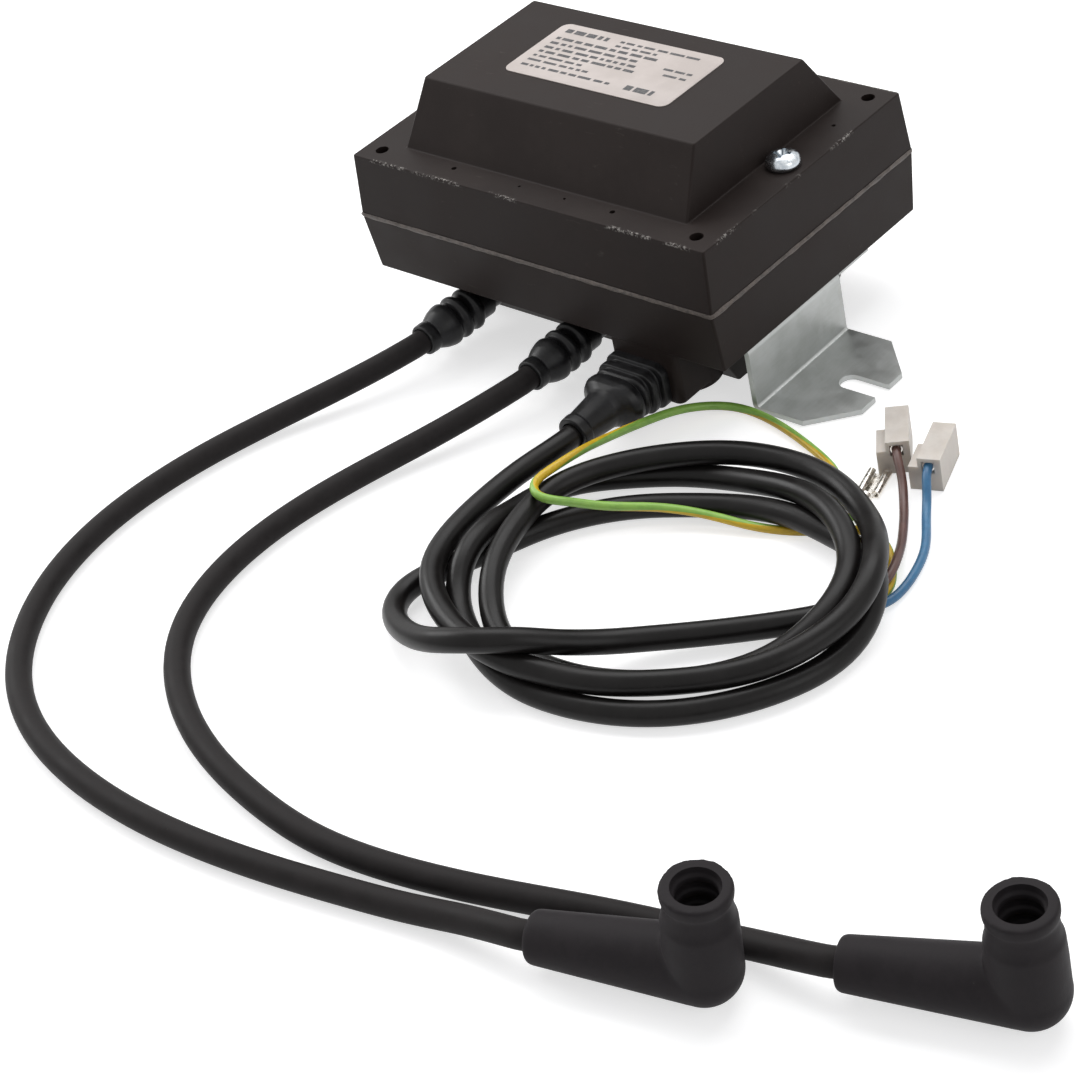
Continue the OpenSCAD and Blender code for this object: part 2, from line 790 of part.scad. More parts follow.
// Routes of the cords, as points in millimetres. Their ends take their place from what holds them.
hv_left_seat = hv_left_root + lean(hv_left_lean) * (gland_l - rim_h);
hv_right_seat = hv_right_root + lean(hv_right_lean) * (gland_l - rim_h);
function boot_seat(at, turn) =
  [at.x, at.y, sheath_h] + [cos(turn), sin(turn), 0] * (sleeve_l - rim_h);
function boot_lead(at, turn) =
  [at.x, at.y, sheath_h] + [cos(turn), sin(turn), 0] * (sleeve_l + 6);

hv_left_route = [
  hv_left_seat, hv_left_seat + lean(hv_left_lean) * 5,
  [-48, -78, 7], [-56.5, -95, 4.6], [-63, -112, 3.5], [-67.5, -133, 3.5], [-68, -156, 3.5],
  [-63, -179, 3.5], [-52.5, -201, 3.5], [-36, -219.5, 3.5], [-14, -232.5, 3.5], [10, -238, 3.5],
  [36, -238, 3.5], [64, -234, 3.5], [92, -229, 3.5], [114, -225.5, 4.2], [128, -223.5, 6.4],
  boot_lead(boot_left_at, boot_left_turn), boot_seat(boot_left_at, boot_left_turn)
];
hv_right_route = [
  hv_right_seat, hv_right_seat + lean(hv_right_lean) * 5,
  [-3.5, -77, 7.2], [-9, -96, 4.8], [-13.5, -116, 3.6], [-16, -138, 3.5], [-15.5, -160, 3.5],
  [-8.5, -182, 3.5], [6, -199, 3.5], [26, -210.5, 3.5], [50, -217.5, 3.5], [76, -219.5, 3.5],
  [102, -217, 3.5], [127, -211, 3.5], [151, -203.8, 3.5], [172, -198.4, 3.5], [189, -195.6, 5.6],
  boot_lead(boot_right_at, boot_right_turn), boot_seat(boot_right_at, boot_right_turn)
];
function seat_in(at, turn, y, z, s) =
  [at.x + s * cos(turn) - y * sin(turn), at.y + s * sin(turn) + y * cos(turn), z];
mains_seat = [supply_x, block_front - grommet_l + rim_h, supply_z];
mains_route = [
  mains_seat, mains_seat + [0, -7, 0], [30.4, -92, 9], [29.6, -106, 8.6], [31, -120, 9.2],
  [35, -133, 9.8]
];
brown_route = [
  [137.6, -90.2, 3.4], [139.2, -83, 3.8], [138.2, -75.5, 3.9], [134.8, -68, 3.2], [129, -57.8, 1.3],
  [122.5, -48.4, 2], [118, -42.6, 5.2],
  seat_in(line_at, line_turn, wire_y, wire_z, -1.5),
  seat_in(line_at, line_turn, wire_y, wire_z, wire_seat)
];
blue_route = [
  [140.4, -91.8, 3.4], [142.9, -87, 1.7], [143.7, -79, 1.2], [140.5, -66.5, 1.2],
  [134, -54.8, 1.2], [129.4, -48.4, 2.4], [127.6, -45, 5.6],
  seat_in(neutral_at, neutral_turn, wire_y, wire_z, -1),
  seat_in(neutral_at, neutral_turn, wire_y, wire_z, wire_seat)
];
earth_route = [
  [139, -91, 1.3], [140.6, -83, 1.3], [138.4, -75.6, 1.3], [130, -66.5, 1.3], [121, -63.6, 1.3],
  [110, -69.5, 1.3], [98, -74.5, 1.5], [86, -78, 3.6], [70.5, -85, 5.8], [58, -92.5, 7.8],
  [51.8, -98.2, 12], [48, -101.2, 14.4], [43.2, -99.8, 14.7], [40.7, -92.6, 14.5],
  [40.2, -80.5, 13.5], [40.2, -67, 10.8], [42.8, -55, 7.2], [48.6, -44.4, 5], [57, -36.4, 2],
  [66, -34.4, 1.3], [80, -37.8, 1.3], [94, -43.2, 1.3], [103.6, -49.4, 1.3], [107, -58, 1.3],
  [111.4, -60.8, 1.4],
  seat_in(earth_at, earth_turn, 0, earth_z, -2.2),
  seat_in(earth_at, earth_turn, 0, earth_z, 2.2)
];

// Solid tube along a route, with one ring of flat sides at each point.
function heading(p, i) = let (d = p[min(i + 1, len(p) - 1)] - p[max(i - 1, 0)]) d / norm(d);
function tube_ring(p, i, r, sides, ref) =
  let (t = heading(p, i), s = cross(ref, t), side = s / norm(s), up = cross(t, side))
    [for (k = [0:sides - 1])
      let (a = 360 * (k + 0.5) / sides) p[i] + r * cos(a) * side + r * sin(a) * up];
module cord(route, d, sides, ref = [0, 0, 1]) {
  skin([for (i = [0:len(route) - 1]) tube_ring(route, i, d / 2, sides, ref)]);
}

module hv_cable_left() { color(rubber) cord(hv_left_route, hv_d, 10); }
module hv_cable_right() { color(rubber) cord(hv_right_route, hv_d, 10); }
module mains_cable() { color(rubber) cord(mains_route, mains_d, 10); }
module brown_wire() { color([0.42, 0.22, 0.15]) cord(brown_route, wire_d, 8); }
module blue_wire() { color([0.16, 0.45, 0.72]) cord(blue_route, wire_d, 8); }
module earth_wire() { color([0.45, 0.72, 0.25]) cord(earth_route, wire_d, 8); }

// Outer shape of the supply cable's loose turns, two strands high. The cores pass under it at the
// right, and the earth core climbs over it in a sloped notch.
coil_h = 2 * mains_d - 0.4;
coil_bend = 12.5;
coil_turns = [[63, -125, 26], [62, -112, 26], [92, -83, 30], [115, -106, 33], [88, -128, 30]];
module coil_outline(inset) {
  hull() for (c = coil_turns) translate([c.x, c.y]) circle(c.z - inset, $fn = 40);
}
module mains_coil() {
  pass_h = 5.4;
  color(rubber)
    difference() {
      linear_extrude(coil_h)
        difference() {
          coil_outline(0);
          coil_outline(coil_bend);
        }
      translate([100, -96, -1]) cube([60, 50, pass_h + 1]);
      translate([98, -72, -2.5]) rotate([0, 0, 214]) rotate([0, -10.5, 0])
        translate([0, -9, 0]) cube([62, 16, 30]);
    }
}

// Push-on receptacle along +X, its mouth at the far end and its flat base below.
module receptacle() {
  grip_l = 2.6;
  mouth_x = 5;
  color(zinc) {
    translate([mouth_x, -tab_w / 2 + roll_r, 0]) cube([tab_l, tab_w - 2 * roll_r, strip_t]);
    for (s = [-1, 1])
      translate([mouth_x, s * (tab_w / 2 - roll_r), roll_r]) rotate([0, 90, 0])
        difference() {
          cylinder(r = roll_r, h = tab_l, $fn = 24);
          translate([0, 0, -1]) cylinder(r = roll_r - strip_t, h = tab_l + 2, $fn = 24);
          translate([-0.3, s > 0 ? -3 : 0, -1]) cube([0.9, 3, tab_l + 2]);
        }
    translate([1, -1.2, 0]) cube([mouth_x, 2.4, strip_t]);
    translate([0, 0, barrel_r]) rotate([0, 90, 0])
      difference() {
        cylinder(r = barrel_r, h = grip_l + 1);
        translate([0, 0, -1]) cylinder(r = barrel_r - strip_t, h = grip_l + 1);
      }
  }
}

// The bare earth receptacle, flat on the ground beside the turns.
module earth_receptacle() {
  translate([earth_at.x, earth_at.y, 0.1]) rotate([0, 0, earth_turn]) receptacle();
}

// Connector housings lie on a long edge, each with a key rib, a wire hole and a mouth.
module connector_housing(at, turn) {
  color(nylon)
    translate([at.x, at.y, 0]) rotate([0, 0, turn])
      difference() {
        union() {
          translate([0, -conn_w / 2, 0]) cube([conn_l, conn_w, conn_h]);
          translate([0, conn_w / 2 - eps, 0]) cube([conn_l * 0.62, key_w, key_h]);
        }
        translate([5.5, -conn_w / 2 + 1.1, 1]) cube([conn_l, conn_w - 2.2, conn_h - 2]);
        translate([-1, wire_y - 1.7, wire_z - 1.7]) cube([8, 3.4, 3.4]);
      }
}
module line_housing() { connector_housing(line_at, line_turn); }
module neutral_housing() { connector_housing(neutral_at, neutral_turn); }

// A receptacle on its edge inside a housing: crimp at the wire hole, blade grip behind the mouth.
module housed_receptacle(at, turn) {
  grip_x = 6;
  color(zinc)
    translate([at.x, at.y, 0]) rotate([0, 0, turn]) {
      translate([grip_x, -0.9, 1.7]) cube([8.4, strip_t, conn_h - 3.4]);
      for (z = [2.6, conn_h - 2.6])
        translate([grip_x, 0.2, z]) rotate([0, 90, 0])
          difference() {
            cylinder(r = 1.3, h = 8.4, $fn = 24);
            translate([0, 0, -1]) cylinder(r = 0.8, h = 12, $fn = 24);
          }
      translate([0.6, wire_y, wire_z]) rotate([0, 90, 0])
        difference() {
          cylinder(r = 1.62, h = 5.6);
          translate([0, 0, -1]) cylinder(r = wire_d / 2 + fit, h = 4);
        }
    }
}
module line_receptacle() { housed_receptacle(line_at, line_turn); }
module neutral_receptacle() { housed_receptacle(neutral_at, neutral_turn); }

upper_shell();
lower_shell();
seam_bead();
rating_label();
potting_fill();
core_e();
core_i();
magnetic_shunts();
primary_bobbin();
primary_winding();
secondary_bobbin_left();
secondary_bobbin_right();
secondary_winding_left();
secondary_winding_right();
hv_terminal_left();
hv_terminal_right();
supply_terminals();
earth_link();
mounting_bracket();
bracket_screw();
bracket_nut();
screw_sleeve();
hv_gland_left();
hv_gland_right();
mains_grommet();
hv_cable_left();
hv_cable_right();
electrode_boot_left();
electrode_boot_right();
boot_contact_left();
boot_contact_right();
mains_cable();
mains_coil();
brown_wire();
blue_wire();
earth_wire();
line_housing();
neutral_housing();
line_receptacle();
neutral_receptacle();
earth_receptacle();
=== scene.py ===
# %% [markdown]
# # An ignition transformer and its leads
# The object is a potted transformer in a black moulded case. Two high-voltage leads end in rubber
# elbow boots, and a supply cable lies in loose turns beside it, with its three cores bared at the end.
# The solids come from the CAD frame. Here they get their finishes and their cords, and where a moulded
# piece's real surface is softer or finer than its solid, a mesh of its own.

import math
import random

import bmesh
import bpy
import numpy as np
from mathutils import Matrix, Vector, noise


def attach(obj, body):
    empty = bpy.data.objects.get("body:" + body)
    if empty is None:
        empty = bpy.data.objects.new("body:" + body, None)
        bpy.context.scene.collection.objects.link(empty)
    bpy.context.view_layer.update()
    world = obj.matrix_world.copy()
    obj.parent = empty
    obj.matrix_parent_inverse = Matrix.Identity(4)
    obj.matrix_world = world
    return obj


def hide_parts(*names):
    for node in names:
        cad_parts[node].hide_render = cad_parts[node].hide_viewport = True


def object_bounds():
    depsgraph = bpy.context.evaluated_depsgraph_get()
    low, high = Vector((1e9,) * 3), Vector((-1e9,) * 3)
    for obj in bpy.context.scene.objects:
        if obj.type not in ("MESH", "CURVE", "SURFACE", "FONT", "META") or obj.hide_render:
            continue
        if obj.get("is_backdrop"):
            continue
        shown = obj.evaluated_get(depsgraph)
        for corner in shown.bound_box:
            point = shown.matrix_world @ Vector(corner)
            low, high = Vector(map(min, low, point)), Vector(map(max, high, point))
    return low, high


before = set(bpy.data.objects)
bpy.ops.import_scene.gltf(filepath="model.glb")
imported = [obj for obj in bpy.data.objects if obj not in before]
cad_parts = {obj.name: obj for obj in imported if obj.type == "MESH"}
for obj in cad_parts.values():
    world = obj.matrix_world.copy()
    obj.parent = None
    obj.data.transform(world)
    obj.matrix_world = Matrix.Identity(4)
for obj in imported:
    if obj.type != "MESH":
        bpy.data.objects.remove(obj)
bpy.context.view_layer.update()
scene = bpy.context.scene
MM = 0.001
print("solids in the frame:", len(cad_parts))

# %% [markdown]
# ## The camera
# The photograph was taken from above the leads' side with a long lens, and the camera was rolled a
# little. The place and the turn were worked out from the case's straight edges, so they are set as
# numbers. A camera in Blender looks along its own -Z, and its three turns are applied in X, Y, Z order.

# %% Camera
camera = bpy.data.objects.new("camera", bpy.data.cameras.new("camera"))
scene.collection.objects.link(camera)
camera.location = (0.484097, -0.486982, 0.428836)
camera.rotation_euler = [math.radians(turn) for turn in (52.8404, 10.8248, 40.8380)]
camera.data.sensor_width = 36.0
camera.data.lens = 91.553
camera.data.clip_start, camera.data.clip_end = 0.01, 20.0
scene.camera = camera
scene.view_settings.view_transform = "Standard"
print("lens", camera.data.lens, "mm")

# %% [markdown]
# ## Shader maths as plain expressions
# A material in Blender is a tree of nodes, and small sums in it take many nodes. The class below wraps
# one output of a node, so that a sum is written as in Python and adds its own Math nodes. Each finish is
# made in the object's own space, in millimetres, so its grain has the same size on every piece.

# %% Shader kit
class Wire:
    """One output in a material's node tree. Arithmetic on it adds Math nodes."""

    def __init__(self, finish, socket):
        self.finish, self.socket = finish, socket

    def math(self, operation, *inputs, clamp=False):
        return self.finish.node("ShaderNodeMath", {"operation": operation, "use_clamp": clamp}, *inputs)

    def __add__(self, other):
        return self.math("ADD", self, other)

    def __sub__(self, other):
        return self.math("SUBTRACT", self, other)

    def __mul__(self, other):
        return self.math("MULTIPLY", self, other)

    def __rsub__(self, other):
        return self.math("SUBTRACT", other, self)

    __radd__, __rmul__ = __add__, __mul__

    def clamped(self):
        return self.math("ADD", self, 0.0, clamp=True)


class Finish:
    """A material, its shader and the textures that feed it."""

    def __init__(self, name, **constants):
        self.material = bpy.data.materials.new(name)
        self.material.use_nodes = True
        self.tree = self.material.node_tree
        self.shader = self.tree.nodes["Principled BSDF"]
        for socket, value in constants.items():
            self.shader.inputs[socket.replace("_", " ")].default_value = value
        self.place = self.node("ShaderNodeTexCoord", out="Object")
        self.normal = None

    def node(self, kind, settings=None, *inputs, out=0, **links):
        made = self.tree.nodes.new(kind)
        for name, value in (settings or {}).items():
            setattr(made, name, value)
        for key, value in [*enumerate(inputs), *links.items()]:
            if isinstance(value, Wire):
                self.tree.links.new(value.socket, made.inputs[key])
            elif value is not None:
                made.inputs[key].default_value = value
        return Wire(self, made.outputs[out])

    def squeezed(self, x, y, z):
        """The place with each axis stretched, for grain that runs one way."""
        return self.node("ShaderNodeVectorMath", {"operation": "MULTIPLY"}, self.place, (x, y, z))

    def noise(self, size, detail=3.0, rough=0.5, place=None, warp=0.0):
        """Cloudy values about 0.5, with spots of that size in millimetres."""
        return self.node("ShaderNodeTexNoise", None, Vector=place or self.place, Scale=1000 / size,
                         Detail=detail, Roughness=rough, Distortion=warp)

    def crystals(self, size):
        """Cells of that size in millimetres, each with one value from 0 to 1."""
        cells = self.node("ShaderNodeTexVoronoi", None, Vector=self.place, Scale=1000 / size, out="Color")
        return self.node("ShaderNodeSeparateColor", None, cells)

    def band(self, value, low, high, to_low=0.0, to_high=1.0):
        """Turns low to high into to_low to to_high, softly, and holds the ends."""
        return self.node("ShaderNodeMapRange", {"interpolation_type": "SMOOTHSTEP"}, value, low, high,
                         to_low, to_high)

    def mix(self, factor, a, b):
        a, b = [(*c, 1.0) if isinstance(c, tuple) and len(c) == 3 else c for c in (a, b)]
        return self.node("ShaderNodeMix", {"data_type": "RGBA"}, factor, None, None, None, None, None,
                         a, b, out=2)

    def feed(self, socket, wire):
        self.tree.links.new(wire.socket, self.shader.inputs[socket])

    def tone(self, value, low, high, dark, light):
        """Colours the surface from dark to light, as value goes from low to high."""
        self.feed("Base Color", self.mix(self.band(value, low, high), dark, light))

    def rough(self, value, low, high):
        """Makes the roughness go from low to high with a cloudy value."""
        self.feed("Roughness", self.band(value, 0.3, 0.7, low, high))

    def bump(self, height, depth):
        """Lets height, from 0 to 1, stand up to depth millimetres proud."""
        self.normal = self.node("ShaderNodeBump", None, Height=height, Distance=depth * MM,
                                Normal=self.normal)
        self.feed("Normal", self.normal)


finishes = {}


def put(piece, *names):
    """Gives a piece or a CAD node its finishes, slot by slot."""
    while len(piece.material_slots) < len(names):
        piece.data.materials.append(None)
    for place, name in zip(piece.material_slots, names):
        place.link = "OBJECT"
        place.material = finishes[name].material


def dressed(piece, nodes, slot, *names):
    """Fixes a piece to the body in place of the nodes it stands for, with its finishes. The slot argument is
    not used.
    """
    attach(piece, "root")
    if nodes:
        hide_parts(*nodes.split())
    put(piece, *names)


# %% [markdown]
# ## The finishes of the case
# The case is moulded in a warm black plastic, dull but not quite matt, with a fine skin and many small
# pale scuffs from handling. The joint is filled with a grey-brown adhesive. Both get their variation
# from layers of noise at different sizes, because one noise alone looks like clouds.

# %% Case, adhesive and label
f = finishes["case"] = Finish("case_plastic", IOR=1.5, Specular_IOR_Level=0.12)
blotch = f.noise(22, 4, 0.55)
grain = f.noise(0.35, 3, 0.6)
specks = f.band(f.noise(0.9, 5, 0.75), 0.66, 0.78)
streaks = f.band(f.noise(2.4, 6, 0.7, f.squeezed(0.35, 1.7, 1.0), 0.4), 0.60, 0.74)
out_x, out_y, height = (f.node("ShaderNodeSeparateXYZ", None, f.place, out=axis) * 1000 for axis in "XYZ")
rim = f.band(out_x.math("ABSOLUTE", out_x), 63.5, 64.2) + f.band(out_y.math("ABSOLUTE", out_y), 43.2, 43.9)
near_edge = rim.clamped() * f.band(height, 57.4, 58.1)
chips = f.band(f.noise(0.9, 5, 0.8), 0.52, 0.57) * near_edge * f.band(f.noise(14, 3, 0.5), 0.49, 0.56)
worn = (specks * 0.5 + streaks * f.band(blotch, 0.48, 0.62) * 0.35).clamped()
skin = f.mix(f.band(blotch, 0.36, 0.64), (0.0170, 0.0120, 0.0108), (0.0225, 0.0168, 0.0152))
f.feed("Base Color", f.mix(chips, f.mix(worn, skin, (0.110, 0.098, 0.088)), (0.330, 0.310, 0.290)))
f.feed("Roughness", f.band(blotch, 0.3, 0.7, 0.44, 0.56) + worn * 0.12 + grain * 0.06)
f.bump(grain * 0.6 + blotch * 0.4, 0.016)

f = finishes["bead"] = Finish("joint_adhesive", IOR=1.48)
lumps = f.noise(1.7, 4, 0.6)
f.tone(lumps, 0.3, 0.7, (0.050, 0.040, 0.035), (0.150, 0.125, 0.110))
f.rough(lumps, 0.42, 0.7)
f.bump(lumps, 0.12)

f = finishes["label"] = Finish("label_film", IOR=1.46)
fibre = f.noise(0.5, 4, 0.65)
stain = f.noise(9, 3, 0.5)
f.tone(stain, 0.35, 0.7, (0.560, 0.500, 0.470), (0.500, 0.445, 0.415))
f.rough(fibre, 0.42, 0.56)
f.bump(fibre, 0.006)

f = finishes["print"] = Finish("label_print", Roughness=0.5, IOR=1.46)
faded = f.noise(0.7, 4, 0.7)
f.tone(faded, 0.4, 0.75, (0.040, 0.040, 0.045), (0.150, 0.145, 0.140))
print("finishes so far:", ", ".join(finishes))

# %% [markdown]
# ## Metals
# The bracket is zinc-coated sheet: a cool grey with a faint green tint and a soft crystal pattern,
# which cells of unequal brightness give. The screw is bright zinc, the receptacles are tinned brass.
# Metal shows its surroundings, so most of its look comes from a roughness that changes.

# %% Zinc, bright zinc, tin and brass
f = finishes["zinc"] = Finish("zinc_sheet", Metallic=1.0)
crystal = f.crystals(3.2)
cloud = f.noise(11, 4, 0.6)
rolled = f.noise(0.9, 4, 0.6, f.squeezed(1.0, 0.12, 1.0))
tint = f.mix(f.band(cloud, 0.36, 0.64), (0.375, 0.385, 0.372), (0.425, 0.435, 0.424))
flash = f.band(crystal * 0.3 + rolled * 0.7, 0.2, 0.8, 0.0, 0.25)
f.feed("Base Color", f.mix(flash, tint, (0.56, 0.58, 0.59)))
f.feed("Roughness", f.band(cloud, 0.3, 0.7, 0.37, 0.43) + crystal * 0.05)
f.bump(rolled * 0.5 + crystal * 0.5, 0.006)

for name, title, size, change, tones, roughness in (
    ("bright", "bright_zinc", 1.6, (0.6, 0.65), ((0.46, 0.50, 0.54), (0.62, 0.65, 0.67)), (0.18, 0.28)),
    ("tin", "tinned_brass", 1.1, (0.65, 0.7), ((0.70, 0.66, 0.60), (0.88, 0.86, 0.82)), (0.16, 0.32)),
    ("brass", "dull_brass", 1.4, (0.65, 0.7), ((0.52, 0.39, 0.18), (0.72, 0.58, 0.32)), (0.24, 0.42)),
):
    f = finishes[name] = Finish(title, Metallic=1.0)
    haze = f.noise(size, 4, change[0])
    f.tone(haze, 0.35, change[1], *tones)
    f.rough(haze, *roughness)
    if name == "brass":
        f.bump(haze, 0.008)
    else:
        skin = f.noise(0.4, 3, 0.6) if name == "bright" else f.noise(0.3, 3, 0.6, f.squeezed(1, 1, 3))
        f.bump(skin, 0.006)
print("finishes so far:", ", ".join(finishes))

# %% [markdown]
# ## Rubber and cable sheaths
# The glands and boots are moulded rubber, the high-voltage leads have a dull silicone sheath, and the
# supply cable a smoother one. All are black, and they differ by their gloss, their dust and their grain.

# %% Rubbers and sheaths
def black(key, title, spots, dust, cover, dulls, roughness, tones, **constants):
    """A mottled black finish with dust on it: spots and dust in millimetres, cover as its share."""
    made = finishes[key] = Finish(title, **constants)
    mottle = made.noise(spots, 4, 0.6)
    size, detail, start = dust
    dust = made.band(made.noise(size, detail, 0.75), start, 0.80)
    dark, light, dusty = tones
    bare = made.mix(made.band(mottle, 0.35, 0.65), dark, light)
    made.feed("Base Color", made.mix(dust * cover, bare, dusty))
    made.feed("Roughness", made.band(mottle, 0.3, 0.7, *roughness) + dust * dulls)
    return made, mottle


f, mottle = black(
    "gland", "gland_rubber", 3.5, (0.55, 4, 0.66), 0.5, 0.2, (0.33, 0.45),
    ((0.0090, 0.0088, 0.0092), (0.0150, 0.0148, 0.0160), (0.09, 0.09, 0.10)),
    IOR=1.52, Specular_IOR_Level=0.22,
)
f.bump(f.noise(0.5, 3, 0.6) * 0.5 + mottle * 0.5, 0.03)
f, mottle = black(
    "boot", "boot_rubber", 6, (1.3, 6, 0.64), 0.3, 0, (0.56, 0.68),
    ((0.0175, 0.0150, 0.0165), (0.0235, 0.0205, 0.0220), (0.10, 0.095, 0.09)),
    IOR=1.5, Specular_IOR_Level=0.12,
)
f.bump(f.noise(0.4, 3, 0.65), 0.02)
f, mottle = black(
    "hv_sheath", "silicone_sheath", 7, (0.8, 5, 0.63), 0.3, 0, (0.50, 0.62),
    ((0.0170, 0.0150, 0.0150), (0.0230, 0.0205, 0.0205), (0.09, 0.085, 0.08)),
    IOR=1.45, Specular_IOR_Level=0.12,
)
f.bump(f.noise(0.6, 3, 0.6), 0.02)
f, mottle = black(
    "mains_sheath", "vinyl_sheath", 9, (1.6, 6, 0.64), 0.25, 0.15, (0.30, 0.40),
    ((0.0062, 0.0054, 0.0052), (0.0095, 0.0085, 0.0082), (0.06, 0.055, 0.05)),
    IOR=1.53, Specular_IOR_Level=0.17,
)
f.bump(f.noise(1.2, 3, 0.5) * 0.7 + mottle * 0.3, 0.03)
print("finishes so far:", len(finishes))

# %% [markdown]
# ## Wire insulation and nylon
# The three cores have thin smooth insulation. Nylon lets some light in, so its edges glow a little:
# light that scatters below the surface gives that, and a fixed amount of it is set on the shader.

# %% Insulation and nylon
for name, dark, light in (
    ("brown", (0.085, 0.036, 0.028), (0.125, 0.056, 0.045)),
    ("blue", (0.028, 0.135, 0.280), (0.045, 0.185, 0.350)),
    ("green", (0.225, 0.440, 0.070), (0.290, 0.530, 0.090)),
    ("yellow", (0.600, 0.390, 0.010), (0.720, 0.490, 0.020)),
):
    f = finishes[name] = Finish(
        f"{name}_insulation", IOR=1.52, Subsurface_Weight=0.06, Subsurface_Scale=0.001)
    drift = f.noise(4, 4, 0.6)
    f.tone(drift, 0.32, 0.68, dark, light)
    f.rough(drift, 0.34, 0.46)
    f.bump(f.noise(0.7, 3, 0.6), 0.015)

f = finishes["nylon"] = Finish("white_nylon", IOR=1.53, Subsurface_Weight=0.35, Subsurface_Scale=0.003,
                               Subsurface_Radius=(1.0, 0.85, 0.7))
flow = f.noise(5, 4, 0.6, f.squeezed(1, 1, 0.4))
f.tone(flow, 0.3, 0.7, (0.595, 0.540, 0.485), (0.670, 0.620, 0.565))
f.rough(flow, 0.36, 0.50)
f.bump(f.noise(0.8, 3, 0.6), 0.012)

# %% [markdown]
# ## Finishes inside the case
# The core and the coils are cast into a filling compound and never seen, but each still gets the
# surface it has: sheet edges on the core, turns of wire on the windings.

# %% Core, coils and compound
f = finishes["core"] = Finish("core_sheets", Metallic=0.8)
sheets = f.node("ShaderNodeTexWave", {"bands_direction": "Z"}, Vector=f.place, Scale=314.0, Distortion=0.3)
rust = f.noise(3, 4, 0.6)
f.tone(rust, 0.5, 0.7, (0.17, 0.17, 0.18), (0.20, 0.13, 0.09))
f.rough(rust, 0.4, 0.6)
f.bump(sheets * 0.7 + rust * 0.3, 0.08)

f = finishes["copper"] = Finish("enamelled_copper", Metallic=1.0, Coat_Roughness=0.2)
strands = f.node("ShaderNodeTexWave", {"bands_direction": "X"}, Vector=f.place, Scale=500.0, Distortion=0.5)
drift = f.noise(4, 3, 0.6)
f.tone(drift, 0.3, 0.7, (0.45, 0.17, 0.07), (0.62, 0.27, 0.12))
f.rough(drift, 0.25, 0.4)
f.bump(strands, 0.1)

f = finishes["compound"] = Finish("filling_compound", IOR=1.5)
sand = f.noise(0.8, 5, 0.7)
f.tone(sand, 0.4, 0.7, (0.016, 0.012, 0.010), (0.050, 0.040, 0.032))
f.rough(sand, 0.35, 0.7)
f.bump(sand, 0.08)
print("finishes:", len(finishes))

# %% [markdown]
# ## Smooth lines for cords
# A cord bends evenly, so a route that is drawn with a few points needs a curve with no kinks between
# them. A cubic spline through the points does that. It is sampled every few millimetres, because the
# next step has to move single spots of the cord.

# %% Spline through points
def spline(points, step):
    """Evenly spaced points, step millimetres apart, on a natural cubic through the given ones."""
    p = np.array(points, float)
    t = np.concatenate([[0], np.cumsum(np.linalg.norm(np.diff(p, axis=0), axis=1) ** 0.75)])
    h = np.diff(t)
    n = len(p)
    a = np.zeros((n, n))
    b = np.zeros((n, 3))
    a[0, 0] = a[-1, -1] = 1
    for i in range(1, n - 1):
        a[i, i - 1 : i + 2] = h[i - 1], 2 * (h[i - 1] + h[i]), h[i]
        b[i] = 6 * ((p[i + 1] - p[i]) / h[i] - (p[i] - p[i - 1]) / h[i - 1])
    m = np.linalg.solve(a, b)
    fine = np.linspace(0, t[-1], n * 40)
    k = np.clip(np.searchsorted(t, fine, side="right") - 1, 0, n - 2)
    u, v, w = (t[k + 1] - fine)[:, None], (fine - t[k])[:, None], h[k][:, None]
    q = (m[k] * u**3 + m[k + 1] * v**3) / (6 * w)
    q += (p[k] / w - m[k] * w / 6) * u + (p[k + 1] / w - m[k + 1] * w / 6) * v
    return spaced(q, step)


def spaced(line, step):
    """The same line with its points evenly spaced, about step apart."""
    s = np.concatenate([[0], np.cumsum(np.linalg.norm(np.diff(line, axis=0), axis=1))])
    at = np.linspace(0, s[-1], max(3, int(round(s[-1] / step)) + 1))
    return np.stack([np.interp(at, s, line[:, i]) for i in range(3)], axis=1)


def smoothed(line, rounds):
    """The line with small wobbles taken out, its ends and their directions kept."""
    line = line.copy()
    for _ in range(rounds):
        line[2:-2] += 0.5 * ((line[1:-3] + line[3:-1]) / 2 - line[2:-2])
    return line


def length_of(line):
    return float(np.linalg.norm(np.diff(line, axis=0), axis=1).sum())


# %% [markdown]
# ## Where the cords hold on
# Each lead leaves its gland along the gland's own axis and enters its boot along the boot's sleeve.
# These few numbers repeat the ones in the part's source, in millimetres, so both models agree. Each
# cord's thickness is here too.

# %% Places of glands, boots and connectors
HV_Z = 8.5
OUTLET_Y = -(34.8 - 10.8 * (20.9 - HV_Z) / 20.9)
GLAND_L, RIM = 28.0, 1.2
hv_root = {"left": np.array([-38.3, OUTLET_Y, HV_Z]), "right": np.array([2.4, OUTLET_Y, HV_Z])}
hv_lean = {"left": 3.6, "right": 1.1}
boot_at = {"left": np.array([183.8, -208.6, 8.8]), "right": np.array([245.6, -179.2, 8.8])}
boot_turn = {"left": 198.0, "right": 200.5}
boot_tip = {"left": 5.0, "right": 0.0}
SLEEVE_L = 40.0
SUPPLY = np.array([33.2, -44.1, 10.0])
GROMMET_L = 30.0
HV_THICK, SUPPLY_THICK, CORE_THICK = 7.0, 6.5, 2.4
line_at, line_turn = np.array([114.4, -38.1, 0]), 125.0
neutral_at, neutral_turn = np.array([126, -40.8, 0]), 109.0
earth_at, earth_turn = np.array([114.2, -55.6, 0.1]), 105.0
WIRE_Y, WIRE_Z, EARTH_Z = 0.4, 7.2, 1.75


def heading(degrees):
    return np.array([math.cos(math.radians(degrees)), math.sin(math.radians(degrees)), 0])


def out_of_case(side):
    a = math.radians(hv_lean[side])
    return np.array([-math.sin(a), -math.cos(a), 0])


